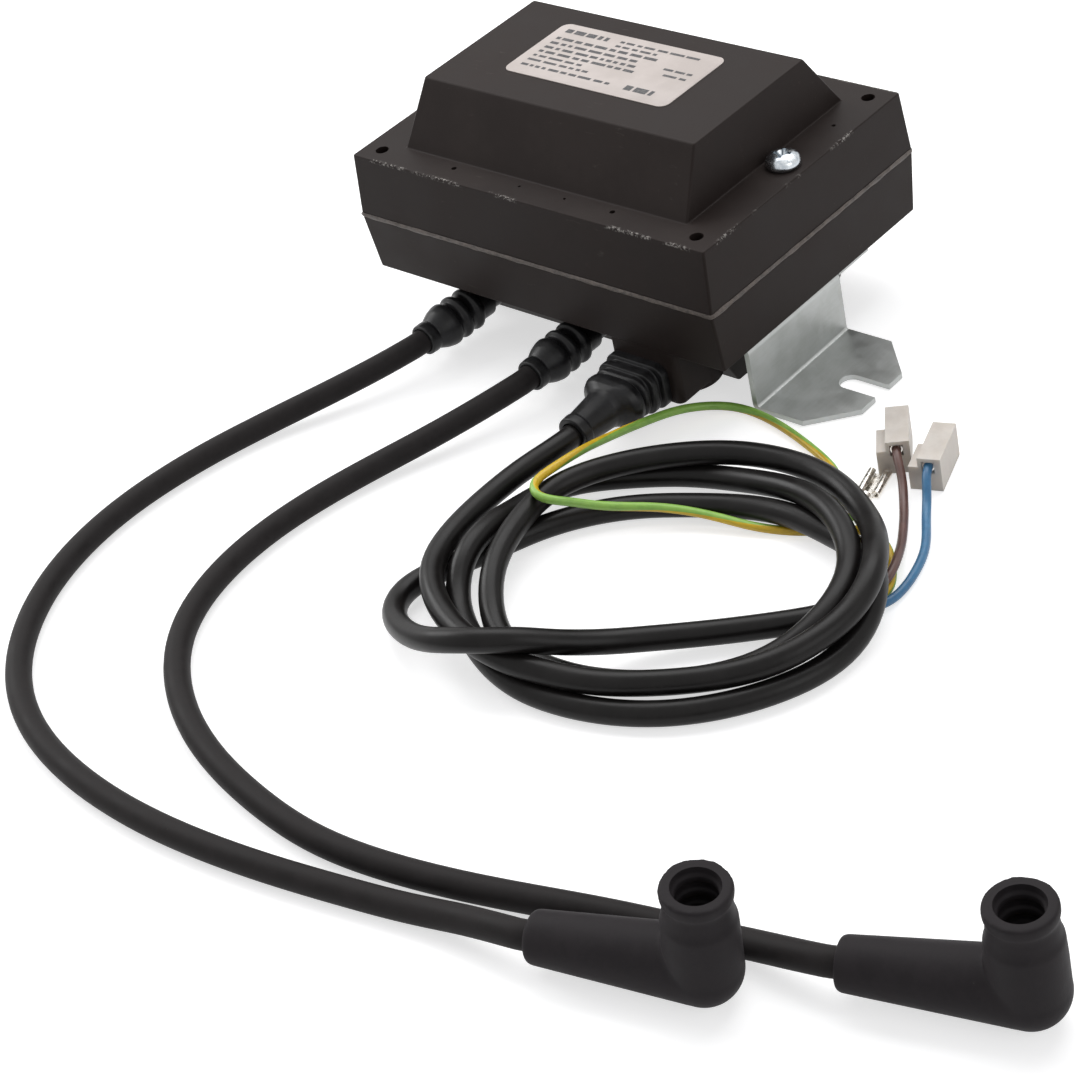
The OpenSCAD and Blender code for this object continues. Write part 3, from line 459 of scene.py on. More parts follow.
def inside(at, turn, along, across, up):
    """A point given in a connector's own directions."""
    return at + heading(turn) * along + heading(turn + 90) * across + np.array([0, 0, up])


# %% [markdown]
# ## The high-voltage leads
# These are stiff silicone leads, 7 mm thick. They drop from the glands to the bench and sweep round in
# two long curves, and the right one passes close under the left boot.

# %% Routes of the high-voltage leads
hv_points = {
    "left": [
        (-47, -78.6, 7), (-54.8, -93.4, 5), (-61.2, -107.2, 3.7), (-65.4, -121.1, 3.5),
        (-68.2, -136.8, 3.5), (-69.2, -153.6, 3.5), (-67.2, -170.6, 3.5), (-61.8, -187.3, 3.5),
        (-52.8, -202.7, 3.5), (-40, -216.4, 3.5), (-23.4, -226.8, 3.5), (-5.2, -233, 3.5),
        (12.4, -236, 3.5), (32.7, -237, 3.5), (54.3, -235.7, 3.5), (76.6, -232.6, 3.5),
        (97.3, -228.6, 3.5), (115, -225, 4), (129, -222.8, 6.4),
    ],
    "right": [
        (-2.6, -73.9, 7.2), (-7.7, -86.7, 5.6), (-13.2, -99.4, 4.3), (-18.2, -113.4, 3.5),
        (-21.3, -128.4, 3.5), (-22.6, -145, 3.5), (-20.5, -163, 3.5), (-13, -181.3, 3.5),
        (-0.8, -195, 3.5), (13.8, -205, 3.5), (32, -212.8, 3.5), (53.4, -218, 3.5),
        (75, -220.4, 3.5), (96, -218.5, 3.5), (117, -214, 3.5), (137.6, -208, 3.5),
        (156.4, -202.4, 3.5), (173.2, -198.2, 3.5), (187, -195.6, 5),
    ],
}
hv_line = {}
for side, middle in hv_points.items():
    start = hv_root[side] + out_of_case(side) * (GLAND_L - RIM)
    sleeve = heading(boot_turn[side])
    end = boot_at[side] + sleeve * (SLEEVE_L - RIM)
    route = [start, start + out_of_case(side) * 4, *middle, end + sleeve * 6, end]
    hv_line[side] = smoothed(spline(route, 4.0), 6)
    print("high-voltage lead", side, round(length_of(hv_line[side]), 1), "mm")

# %% [markdown]
# ## The supply cable's loose turns
# The cable is 6.5 mm thick and goes round three times and a bit. Its turns cross and lie on each other.
# The route is drawn turn by turn as it is seen from above, with the height of each spot. The order in
# which the turns lie on each other is set by those heights, and the next step mends what still touches.

# %% Route of the supply cable
mains_start = SUPPLY + np.array([0, -(GROMMET_L - RIM), 0])
mains_points = [
    tuple(mains_start), (33.2, -79.5, 10), (31, -88, 9.6), (30, -97.2, 9.4), (30.1, -106.3, 9.5),
    (30.8, -115.3, 9.7), (32.4, -124.3, 9.8), (35.2, -132.5, 9.8),
    (41, -140, 9.8), (49, -146, 9.8), (61.5, -151.8, 9.8), (73, -154.2, 9.8), (87, -153.2, 7.5),
    (101.6, -149.4, 6.4), (115.4, -142, 6.4), (128.5, -132.3, 6.8), (138.8, -121.2, 8.4),
    (143.8, -107, 10), (145, -98.9, 11.4), (144.2, -91, 14), (139.2, -81.8, 14),
    (132, -73.2, 12), (124.2, -66.6, 10), (115.6, -61.4, 9.8), (103.6, -57.6, 9.8),
    (91.3, -57.6, 9.8), (80, -60.2, 9.8), (69.3, -65.8, 9.8), (57.8, -74.5, 9.8),
    (49.1, -84.3, 9.9), (44.8, -92.6, 10),
    (43.6, -101, 10), (45.6, -111.8, 10), (48.8, -123, 9.4), (54.5, -133.1, 7.2), (62.3, -140.9, 4),
    (72, -145.4, 3.25), (84.4, -146.6, 3.25), (97.7, -144.7, 3.25), (111.7, -138.6, 3.25),
    (125.5, -128.9, 3.6), (135.5, -117.6, 5.6), (139.8, -105.9, 8.6),
    (139.3, -96.5, 9.8), (136.3, -88.3, 9.8), (131.4, -81.4, 9.8), (124.2, -75.2, 9.8),
    (115.4, -70.2, 9.8),
    (103.6, -66.4, 8.4), (88.8, -65, 5.6), (77.3, -65.6, 3.8), (67, -68.1, 3.25), (56.2, -74.4, 3.25),
    (45.8, -82.1, 3.25), (39.6, -90, 3.4),
    (38.4, -100.6, 4.4), (39.6, -112, 6.8), (41.1, -122.4, 9), (43.2, -130.8, 7.6), (46, -136.2, 4.6),
    (51.5, -141.4, 3.25), (60.6, -146.9, 3.25),
    (72.2, -152, 3.25), (86.2, -154, 3.25), (102.5, -152.2, 3.25), (117.6, -146.6, 3.25),
    (130.5, -137.1, 3.25), (139.4, -126, 3.25), (144.8, -114.4, 3.25), (146, -103.6, 3.4),
    (145, -95, 5.4), (141.6, -87, 8), (135.4, -79.8, 7), (127.6, -75, 6.1), (119.3, -73.2, 5.9),
    (109.3, -71.8, 5.9), (98.8, -71.2, 5), (87.5, -72.8, 3.8), (76.4, -77, 3.25), (63.3, -83.9, 3.25),
    (53.2, -92.2, 3.25), (45.7, -101.4, 3.25), (40.4, -111.9, 3.25), (35.2, -124.4, 3.25),
    (30.8, -134.4, 3.25), (30, -142.3, 3.25), (34.3, -149.9, 3.6), (44.4, -156.5, 6), (57.5, -160.8, 10),
    (69.6, -160.7, 13.6), (78.7, -156.2, 12.8), (86.2, -147.9, 9.4), (92.7, -137.9, 5.2),
    (101, -128.2, 3.3), (115, -116.4, 3.25), (127.6, -105, 3.25), (135.6, -96.6, 3.25),
    (138.9, -91, 3.25),
]
mains_line = spline(mains_points, 3.0)
print("supply cable as drawn", round(length_of(mains_line), 1), "mm")

# %% [markdown]
# The cores leave the sheath's end under the turns. Brown and blue rise into their nylon housings, and
# the long earth core runs back over the turns, round, and out again to its bare receptacle.

# %% Routes of the three cores
core_points = {
    "brown": [
        (137.9, -90.4, 3.6), (139.2, -86, 3.8), (139.6, -81, 4), (138.8, -76, 4.2), (136.8, -71.4, 3.6),
        (133.6, -65.4, 2), (130, -59.4, 1.3), (126, -53.2, 1.25), (122.2, -47.8, 2.2),
        (119, -43.6, 4.4), tuple(inside(line_at, line_turn, -1.5, WIRE_Y, WIRE_Z)),
        tuple(inside(line_at, line_turn, 3.4, WIRE_Y, WIRE_Z)),
    ],
    "blue": [
        (140.1, -91.6, 3.3), (142, -88.6, 2.4), (143.2, -84.6, 1.5), (143.4, -78, 1.25),
        (142, -70.8, 1.25), (139.6, -63.8, 1.25), (135.8, -57.4, 1.25), (131.9, -51.8, 1.3),
        (129.3, -47.4, 2.8), (127.7, -44.8, 5.4),
        tuple(inside(neutral_at, neutral_turn, -1, WIRE_Y, WIRE_Z)),
        tuple(inside(neutral_at, neutral_turn, 3.4, WIRE_Y, WIRE_Z)),
    ],
    "earth": [
        (139.3, -90.9, 2.1), (140.4, -86, 1.3), (140.4, -80.6, 1.25), (138, -75.4, 1.25),
        (133.6, -69.8, 1.25), (128.6, -65.4, 1.25), (122.6, -63.4, 1.25), (116.4, -65.4, 1.25),
        (110, -69.4, 1.3), (103, -72.8, 1.6), (95.4, -76, 2.4), (87.2, -78.3, 3.6), (78.5, -81, 4.8),
        (69.8, -85.2, 6), (62.2, -90.8, 7.4), (57, -95.4, 9.4), (53.6, -99.2, 11.8),
        (51.4, -101.9, 13.2), (48.4, -103.6, 14.3), (45.2, -103.1, 14.8), (43, -100.4, 14.9),
        (42.6, -96.6, 14.8), (43, -90.8, 14.4),
        (43.5, -82.4, 13.5), (44, -74.2, 11.8), (44.3, -65.8, 9.6), (45.1, -57.2, 7.4), (47.4, -48.3, 5.6),
        (51.7, -40.6, 3.6), (57.8, -35.6, 1.9), (66, -34.9, 1.3), (75.9, -37, 1.25),
        (86.4, -40.5, 1.25), (96.1, -44.6, 1.25), (101.6, -48.4, 1.25), (104, -53.2, 1.25),
        (104.6, -59.2, 1.25), (106.2, -64, 1.25), (109.5, -66, 1.3), (113.1, -65, 1.3), (115.2, -61.8, 1.4),
        tuple(inside(earth_at, earth_turn, -2.2, 0, EARTH_Z - 0.1)),
        tuple(inside(earth_at, earth_turn, 2.2, 0, EARTH_Z - 0.1)),
    ],
}
core_line = {name: spline(points, 2.0) for name, points in core_points.items()}
for name, line in core_line.items():
    print(name, "core", round(length_of(line), 1), "mm")

# %% [markdown]
# ## Laying the turns on each other
# As they are drawn, the turns pass through each other in places. Real cable can't, so each overlap is
# pushed apart over many small rounds, the floor pushes up, and every push is shared with the cable's
# neighbouring spots, which is what its stiffness does. The cell prints how far any spot had to move.
# Spots of one cable count as apart from SELF_REACH times their reach on, and the cores may touch for the
# first CORES_LEAVE millimetres, where they come out of one sheath.

# %% Push the cords apart
ROUNDS, SLACK, PUSH = 260, 0.05, 0.35
SELF_REACH, CORES_LEAVE, SEARCH, LAST_ROUNDS = 3.2, 11, 26, 12


def lay_together(lines, radii, fixed_ends):
    """Moves the lines of several cords so that none passes through another or itself."""
    start = np.concatenate(lines)
    owner = np.concatenate([np.full(len(line), i) for i, line in enumerate(lines)])
    along = np.concatenate([
        np.concatenate([[0], np.cumsum(np.linalg.norm(np.diff(line, axis=0), axis=1))]) for line in lines
    ])
    radius = np.array(radii)[owner]
    reach = radius[:, None] + radius[None, :] + SLACK
    apart = owner[:, None] != owner[None, :]
    apart |= np.abs(along[:, None] - along[None, :]) > SELF_REACH * reach
    total = np.array([along[owner == i].max() for i in range(len(lines))])[owner]
    near_sheath = np.where(owner == 0, total - along, along)
    apart &= ~((near_sheath[:, None] < CORES_LEAVE) & (near_sheath[None, :] < CORES_LEAVE))
    held = np.zeros(len(start), bool)
    for i, (first, last) in enumerate(fixed_ends):
        mine = np.where(owner == i)[0]
        held[mine[:first]] = True
        if last:
            held[mine[-last:]] = True
    i, j = np.where(np.triu(apart, 1))
    close = np.linalg.norm(start[i] - start[j], axis=1) < SEARCH
    i, j = i[close], j[close]
    need = reach[i, j]
    move = np.zeros_like(start)
    for turn in range(ROUNDS):
        p = start + move
        gap = p[i] - p[j]
        far = np.maximum(np.linalg.norm(gap, axis=1), 1e-6)
        short = np.maximum(need - far, 0)
        push = gap / far[:, None] * (short * PUSH)[:, None]
        np.add.at(move, i, push)
        np.add.at(move, j, -push)
        if turn < ROUNDS - LAST_ROUNDS:
            for k in range(len(lines)):
                mine = np.where(owner == k)[0]
                m = move[mine]
                for _ in range(2):
                    m[1:-1] = 0.5 * m[1:-1] + 0.25 * (m[:-2] + m[2:])
                move[mine] = m
        move[held] = 0
        low = start[:, 2] + move[:, 2] < radius
        move[low, 2] = (radius - start[:, 2])[low]
    p = start + move
    left = (need - np.linalg.norm(p[i] - p[j], axis=1)).max()
    print("deepest touch left", round(float(left), 2), "mm")
    print("largest move", round(float(np.abs(move).max()), 2), "mm")
    return [p[owner == k] for k in range(len(lines))]


laid = lay_together(
    [smoothed(mains_line, 3), core_line["brown"], core_line["blue"], core_line["earth"]],
    [SUPPLY_THICK / 2, CORE_THICK / 2, CORE_THICK / 2, CORE_THICK / 2],
    [(4, 1), (1, 3), (1, 3), (1, 3)],
)
mains_line = smoothed(laid[0], 2)
for name, line in zip(("brown", "blue", "earth"), laid[1:]):
    core_line[name] = smoothed(line, 2)

# %% [markdown]
# ## From a line to a cord
# A curve with a round bevel is the simplest solid cord, but the box of a curve object is wider than its
# shape, and a core in two colours needs to know which side each face is on. So a cord is a tube in mesh
# code: a ring of points at each spot of its line, carried along without twisting. The line is kept, so
# that its length can be measured.

# %% Cord makers
def ring_frames(line, level=False):
    """Side and up directions along a line, level with the floor or carried along it without twisting."""
    ahead = np.gradient(line, axis=0)
    ahead /= np.linalg.norm(ahead, axis=1)[:, None]
    side = np.cross(ahead[0], [0, 0, 1])
    sides = []
    for t in ahead:
        side = np.cross(t, [0, 0, 1]) if level else side - t * (side @ t)
        side = side / np.linalg.norm(side)
        sides.append(side)
    sides = np.array(sides)
    return sides, np.cross(sides, ahead)


def tube(line, radius, around, twist=None):
    """Points and faces of a closed tube, with the number round it for each wall face."""
    sides, ups = ring_frames(line, level=twist is not None)
    points, faces, places = [], [], []
    for n, (p, s, u) in enumerate(zip(line, sides, ups)):
        for k in range(around):
            a = 2 * math.pi * k / around + (0 if twist is None else twist[n])
            points.append(p + radius * (math.cos(a) * s + math.sin(a) * u))
    for n in range(len(line) - 1):
        for k in range(around):
            k2 = (k + 1) % around
            a, b = n * around, (n + 1) * around
            faces.append((a + k, a + k2, b + k2, b + k))
            places.append(k)
    faces.append(tuple(range(around - 1, -1, -1)))
    faces.append(tuple(len(points) - around + k for k in range(around)))
    return points, faces, places


def mesh_piece(name, points, faces, sharp=35):
    data = bpy.data.meshes.new(name)
    data.from_pydata([tuple(float(c) * MM for c in p) for p in points], [], faces)
    data.validate()
    work = bmesh.new()
    work.from_mesh(data)
    bmesh.ops.recalc_face_normals(work, faces=work.faces)
    work.to_mesh(data)
    work.free()
    data.shade_smooth()
    data.set_sharp_from_angle(angle=math.radians(sharp))
    piece = bpy.data.objects.new(name, data)
    scene.collection.objects.link(piece)
    return piece


# %% [markdown]
# ## The leads, the supply cable and two of its cores
# These five have one colour each. Their lines are sampled every 1.5 mm, so that the tightest bend still
# looks round, and a thin core needs fewer points round it than a thick lead.

# %% Cords in one colour
PATH_STEP = 1.5


def cord_piece(name, line, diameter, around, nodes, slot, finish):
    """A cord's tube, and the line that it follows."""
    path = spaced(line, PATH_STEP)
    piece = mesh_piece(name, *tube(path, diameter / 2, around)[:2])
    dressed(piece, nodes, slot, finish)
    print(name, round(length_of(path), 1), "mm")
    return piece, path


hv_lead, hv_path, core, core_path = {}, {}, {}, {}
for side in ("left", "right"):
    hv_lead[side], hv_path[side] = cord_piece(
        f"hv_lead_{side}", hv_line[side], HV_THICK, 32, f"hv_cable_{side}", "cable_rubber", "hv_sheath")
supply_cable, supply_path = cord_piece(
    "supply_cable", mains_line, SUPPLY_THICK, 32, "mains_cable mains_coil", "cable_vinyl", "mains_sheath")
for name in ("brown", "blue"):
    core[name], core_path[name] = cord_piece(
        f"{name}_core", core_line[name], CORE_THICK, 20, f"{name}_wire", name, name)

# %% [markdown]
# ## The green and yellow core
# Its insulation is green with a yellow stripe, about 45% of the way round, and the wire rolls as it
# bends. The roll is given at a few distances along it, as an angle from level, and evenly in between.

# %% Earth core and its stripe
EARTH_AROUND, YELLOW_WIDTH = 24, 11
STRIPE = [
    (0, 90), (58, 170), (75, 225), (94, 265), (104, 300), (117, 320), (122, 335), (128, 365), (134, 410),
    (141, 450), (150, 485), (167, 525), (176, 575), (202, 615), (210, 670), (242, 740), (275, 900),
]
earth_path = spaced(core_line["earth"], PATH_STEP)
along = np.linspace(0, length_of(earth_path), len(earth_path))
middle = math.pi * YELLOW_WIDTH / EARTH_AROUND
roll = np.radians(np.interp(along, *zip(*STRIPE))) - middle
points, faces, stripe_places = tube(earth_path, CORE_THICK / 2, EARTH_AROUND, roll)
core["earth"] = mesh_piece("earth_core", points, faces)
dressed(core["earth"], "earth_wire", "earth_green", "green", "yellow")
for face, place in zip(core["earth"].data.polygons, stripe_places):
    face.material_index = 1 if place < YELLOW_WIDTH else 0
print("faces round the earth core:", EARTH_AROUND, "yellow:", YELLOW_WIDTH)

# %% [markdown]
# ## Shapes from rounded outlines
# Moulded rubber has no sharp edges. Glands, grommet and boots are drawn as outlines with plain corners,
# and every corner is then rounded off by a small curve. The same helper works on a profile that is
# turned about an axis and on a row of cross sections that is skinned.

# %% Helpers for outlines, turned pieces and skins
def filleted(points, size, steps=3):
    """An open outline with its corners rounded off, in any number of dimensions."""
    p = [np.array(q, float) for q in points]
    out = [p[0]]
    for a, b, c in zip(p, p[1:], p[2:]):
        ends = []
        for v in (a - b, c - b):
            far = np.linalg.norm(v)
            ends.append(b + v / far * min(size, 0.45 * far))
        for t in np.linspace(0, 1, steps + 1):
            out.append((1 - t) ** 2 * ends[0] + 2 * t * (1 - t) * b + t * t * ends[1])
    return [*out, p[-1]]


def skinned(rings):
    """Points and faces of a closed skin over rings with equally many points."""
    n = len(rings[0])
    points = [tuple(p) for ring in rings for p in ring]
    faces = [
        (j * n + i, j * n + (i + 1) % n, (j + 1) * n + (i + 1) % n, (j + 1) * n + i)
        for j in range(len(rings) - 1) for i in range(n)
    ]
    faces += [tuple(range(n - 1, -1, -1)), tuple(len(points) - n + i for i in range(n))]
    return points, faces


def turned(profile, around=64):
    """A skin from (height, radius) pairs turned about Z."""
    angles = [2 * math.pi * k / around for k in range(around)]
    return skinned([
        [(max(r, 0.01) * math.cos(a), max(r, 0.01) * math.sin(a), z) for a in angles] for z, r in profile
    ])


def rounded_ring(width, height, radius, z, corner=8):
    """Points of a rounded rectangle at height z."""
    radius = min(radius, width / 2 - 0.01, height / 2 - 0.01)
    ring = []
    for k, (sx, sy) in enumerate(((1, 1), (-1, 1), (-1, -1), (1, -1))):
        for i in range(corner + 1):
            a = math.pi / 2 * (k + i / corner)
            ring.append((sx * (width / 2 - radius) + radius * math.cos(a),
                         sy * (height / 2 - radius) + radius * math.sin(a), z))
    return ring


def placed(points, at, z_axis, x_axis=(1, 0, 0)):
    """Points moved from their own space, so that Z runs along z_axis from at."""
    z = Vector(z_axis).normalized()
    x = Vector(x_axis)
    x = (x - z * x.dot(z)).normalized()
    turn = Matrix((x, z.cross(x), z)).transposed()
    return [tuple(turn @ Vector(p) + Vector(at)) for p in points]


def turned_piece(name, profile, at, axis=(0, 0, 1), around=64, across=(1, 0, 0), sharp=35):
    points, faces = turned(profile, around)
    return mesh_piece(name, placed(points, at, axis, across), faces, sharp)


# %% [markdown]
# ## Cutting and joining
# A moulded part is built the way its tool works: a body, less the core that hollows it, less the pins
# that leave its holes. A Boolean modifier makes each cut. The exact solver is used, because many faces
# lie in one plane, and each cut is put into the mesh at once, so that the next one starts from it.

# %% Helpers that cut and join bodies
def baked(piece):
    """Applies the piece's modifiers to its mesh."""
    graph = bpy.context.evaluated_depsgraph_get()
    mesh = bpy.data.meshes.new_from_object(piece.evaluated_get(graph))
    piece.modifiers.clear()
    piece.data = mesh


def worked(body, tool, operation="DIFFERENCE"):
    """The body with the tool cut out of it, or joined to it."""
    step = body.modifiers.new("work", "BOOLEAN")
    step.operation, step.solver, step.object = operation, "EXACT", tool
    baked(body)
    bpy.data.objects.remove(tool)


def joined(name, parts):
    """One piece from several bodies, each given as its points and faces."""
    points, faces = [], []
    for more, their in parts:
        faces += [tuple(i + len(points) for i in face) for face in their]
        points += more
    return mesh_piece(name, points, faces)


def rod(at, axis, radius, low, high):
    """Points and faces of a plain rod along an axis, from low to high."""
    points, faces = turned([(low, 0), (low, radius), (high, radius), (high, 0)], 32)
    return placed(points, at, axis), faces


def shaded(piece, sharp):
    """Smooth shading up to an angle between faces, and no slots left over from the cutters."""
    piece.data.shade_smooth()
    piece.data.set_sharp_from_angle(angle=math.radians(sharp))
    piece.data.materials.clear()


# %% [markdown]
# ## The two halves of the case
# Each half is a tray with a raised centre. It could be a box with a bevel, but its corners and its edges
# have different radii and its sides slope. So it is a skin over cross sections: each is a rounded
# rectangle at some height, and the list of them is rounded off at every edge. Then the hollow, the
# corner holes and the outlets are cut, as in the part's source.

# %% Case halves
CASE_L, CASE_W, SEAM_Z, CORNER_R, CENTRE_R, WALL = 130.0, 92.0, 39.5, 0.7, 0.7, 2.5
UP = (0, 0, 1)
# For each half: the height of its side and of its centre, the centre's half width, and which way it goes.
HALVES = {"upper": (19.0, 17.8, 24.1, 1), "lower": (18.6, 20.9, 22.7, -1)}
CORNERS = [(sx * 57.8, sy * 38.6, 0) for sx in (-1, 1) for sy in (-1, 1)]
CORNER_HOLE_R, CORNER_POST_R = 1.95, 5
SCREW_HOLE_AT, SCREW_HOLE_R = (57, 0, 0), 4.05
HV_HOLE_R, SUPPLY_HOLE_R = 4.3, 4.05
BLOCK_AT, BOSS_AT, BLOCK_TOP = (35.0, -36.05, 0), (37.6, -29.2, 0), 22.1
# Small pits in the flange: their places and radii.
MARKS = [(-30, -38, 0.8), (28.4, -38, 0.8), (-5.2, -38, 0.45), (11.3, -38, 0.45), (57.8, 22.4, 0.6)]


def tray(name, sections, edge):
    """A skin over (height, half length, half width, corner radius), its edges rounded off."""
    rings = [rounded_ring(2 * l, 2 * w, r, z, 6) for z, l, w, r in filleted(sections, edge, 4)]
    return mesh_piece(name, *skinned(rings))


def add_block(body):
    """Joins the supply cable's block and its round boss to the lower half."""
    block = tray("block", [(4.2, 6, 4, 2), (4.2, 11.6, 8.05, 2), (BLOCK_TOP, 11.6, 8.05, 2)], 0.8)
    block.data.transform(Matrix.Translation(Vector(BLOCK_AT) * MM))
    worked(body, block, "UNION")
    boss = filleted([(2.7, 0), (2.7, 9.2), (BLOCK_TOP, 9.2), (BLOCK_TOP, 0)], 0.7)
    worked(body, turned_piece("boss", boss, BOSS_AT), "UNION")


shell = {}
for half, (side_h, centre_h, end_w, way) in HALVES.items():
    z = lambda h: SEAM_Z + way * h
    top = side_h + centre_h
    case = shell[half] = tray(f"{half}_case", [
        (z(0), 64.35, 45.35, CORNER_R), (z(0.65), 65, 46, CORNER_R), (z(side_h), 64.5, 44.2, CORNER_R),
        (z(side_h), 51.7, 34.9, CENTRE_R), (z(top), 49.2, end_w, CENTRE_R), (z(top), 40, 15, CENTRE_R),
    ], 0.5)
    hollow = tray("hollow", [
        (z(-1), 61.85, 42.85, 3), (z(0), 61.85, 42.85, 3), (z(side_h - WALL), 61.5, 41.6, 3),
        (z(side_h - WALL), 49, 32.3, 2.5), (z(top - WALL), 46.5, 19.8, 2.5),
    ], 0.2)
    low, high = sorted((z(-2), z(30)))
    worked(hollow, joined("posts", [rod(at, UP, CORNER_POST_R, low, high) for at in CORNERS]))
    if half == "lower":
        add_block(case)
    worked(case, hollow)
    holes = [rod(at, UP, CORNER_HOLE_R, 5, 80) for at in CORNERS]
    holes.append(rod(SCREW_HOLE_AT, UP, SCREW_HOLE_R, 5, 80))
    if half == "upper":
        holes += [rod((x, y, 0), UP, r, 57.5, 60) for x, y, r in MARKS]
    else:
        holes += [rod(hv_root[side], out_of_case(side), HV_HOLE_R, -8, 8) for side in hv_root]
        holes.append(rod(SUPPLY, (0, -1, 0), SUPPLY_HOLE_R, -25, 2))
    worked(case, joined("holes", holes))
    shaded(case, 32)
    even = case.modifiers.new("even_shading", "WEIGHTED_NORMAL")
    even.keep_sharp = True
    dressed(case, f"{half}_shell", "case", "case")
    print(case.name, len(case.data.polygons), "faces")

# %% [markdown]
# ## The label
# A thin film with rounded corners. Only its edge shows that it has a thickness, so it is a skin over
# three outlines, the last of them a little smaller.

# %% Label
LABEL_L, LABEL_W, LABEL_R = 59.0, 28.4, 2.8
film = [
    rounded_ring(LABEL_L - 2 * c, LABEL_W - 2 * c, LABEL_R - c, z)
    for z, c in ((76.3, 0), (76.46, 0), (76.5, 0.06))
]
points, faces = skinned(film)
label = mesh_piece("label", placed(points, (-0.3, 2.1, 0), UP), faces)
dressed(label, "rating_label", "label", "label")
print("label", LABEL_L, "x", LABEL_W, "mm")

# %% [markdown]
# ## The earthing screw
# A pan-head screw with a cross recess goes down through both halves, and its nut holds the bracket. The
# head is turned, its recess is cut by two crossed bars and a cone, and the threads are rings: at this
# size a helix would look the same.

# %% Screw
SCREW_AT = (57.5, 0, 0)
TIP_Z, SHANK_R, ROOT_R, HEAD_Z, HEAD_R = 13.3, 2.5, 2.1, 58.52, 4.7
threads = [(TIP_Z + 0.4 * n, 2.45 if n % 2 else ROOT_R) for n in range(1, 24)]
shank = [(TIP_Z, 0), (TIP_Z, ROOT_R), *threads, (22.6, SHANK_R), (HEAD_Z, SHANK_R)]
head = filleted([
    (HEAD_Z, SHANK_R), (HEAD_Z, HEAD_R), (59.7, 4.95), (61.1, 4.5), (62.1, 3.0), (62.4, 1.2), (62.45, 0),
], 0.5)
screw = turned_piece("screw", [*shank, *[tuple(q) for q in head[1:]]], SCREW_AT, around=48)
for angle in (20, 110):
    bar = [
        rounded_ring(2 * l, 2 * w, 0.2, z, 3)
        for z, l, w in ((60.2, 1.5, 0.4), (61.2, 2.3, 0.5), (63.5, 2.7, 0.62))
    ]
    points, faces = skinned(bar)
    worked(screw, mesh_piece("bar", placed(points, SCREW_AT, UP, heading(angle)), faces))
cone = [(59.7, 0), (59.7, 0.5), (63.5, 2.2), (63.5, 0)]
worked(screw, turned_piece("cone", cone, SCREW_AT, around=24))
shaded(screw, 40)
dressed(screw, "bracket_screw", "bright_zinc", "bright")
print("screw", len(screw.data.polygons), "faces")

# %% [markdown]
# ## The glands of the high-voltage leads
# Each lead leaves the case through a rubber gland: a stub in the wall, two round ribs, a dome that
# narrows to a neck, and a collar round the lead. It is round all along, so its profile is turned. The
# last points go back inside the collar, where the lead comes out of a shallow recess.

# %% Glands
GLAND_PROFILE = [
    (-3.3, 0), (-3.3, 4.2), (2.6, 4.2), (2.7, 5.3), (7.4, 5.3), (7.9, 5.6), (8.6, 6.5), (9.9, 6.5),
    (10.7, 5.5), (11.9, 5.4), (12.7, 5.8), (13.3, 6.6), (14.6, 6.6), (15.4, 5.6), (16.4, 5.5),
    (17.1, 5.9), (17.8, 6.6), (19.2, 6.5), (21.4, 5.9), (23.4, 4.95), (24.3, 4.35), (24.8, 4.55),
    (25.2, 4.75), (27.6, 4.65), (27.95, 4.45), (27.95, 3.62), (26.8, 3.62), (26.8, 0),
]
for side in ("left", "right"):
    profile = filleted(GLAND_PROFILE, 0.45)
    gland = turned_piece(f"gland_{side}", profile, hv_root[side], out_of_case(side), sharp=60)
    dressed(gland, f"hv_gland_{side}", "gland_rubber", "gland")
    print(gland.name, len(gland.data.polygons), "faces")

# %% [markdown]
# ## The supply cable's grommet
# Its flanges are rounded rectangles, gripped by the supply block, and the sleeve behind them is round.
# Cross sections are listed along the axis, their corners in that list are rounded off too, and a skin
# is laid over them.

# %% Grommet
GROMMET_SECTIONS = [
    (0.0, 20.2, 13.8, 3.6), (2.5, 20.2, 13.8, 3.6), (2.7, 17, 11.8, 3.6), (4.1, 17, 11.8, 3.6),
    (4.3, 19.6, 13.0, 4), (6.4, 19.6, 13.0, 4), (6.6, 16.6, 11.6, 4), (7.7, 16.6, 11.6, 4),
    (7.9, 18.4, 12.6, 4.6), (8.9, 18.2, 12.6, 5), (9.5, 16.2, 11.8, 5.4), (10.4, 19.4, 13.2, 6.2),
    (12.2, 20.2, 13.6, 6.6), (14.2, 18.2, 13.2, 6.4), (16.0, 13.4, 12.0, 6), (17.4, 11.6, 11.4, 5.7),
    (26.9, 9.6, 9.6, 4.8), (27.1, 10.3, 10.3, 5.15), (29.9, 10.0, 10.0, 5.0), (30.0, 6.9, 6.9, 3.45),
    (28.8, 6.9, 6.9, 3.45),
]
inner = [rounded_ring(7.9, 7.9, 3.95, z) for z in (-21.1, 0)]
outer = [rounded_ring(w, h, r, z) for z, w, h, r in filleted(GROMMET_SECTIONS, 0.55)]
points, faces = skinned([*inner, *outer])
grommet = mesh_piece("grommet", placed(points, SUPPLY, (0, -1, 0)), faces, sharp=60)
dressed(grommet, "mains_grommet", "gland_rubber", "gland")
print("grommet", len(faces), "faces")

# %% [markdown]
# ## The electrode boots
# A boot is one piece of rubber: a tapered sleeve and an upright socket that flow into each other at the
# elbow. Three plain bodies are merged by a voxel remesh and smoothed, which rounds the inside of the
# elbow as the mould does. The socket, with its ribs, is cut afterwards, because smoothing would blur it.

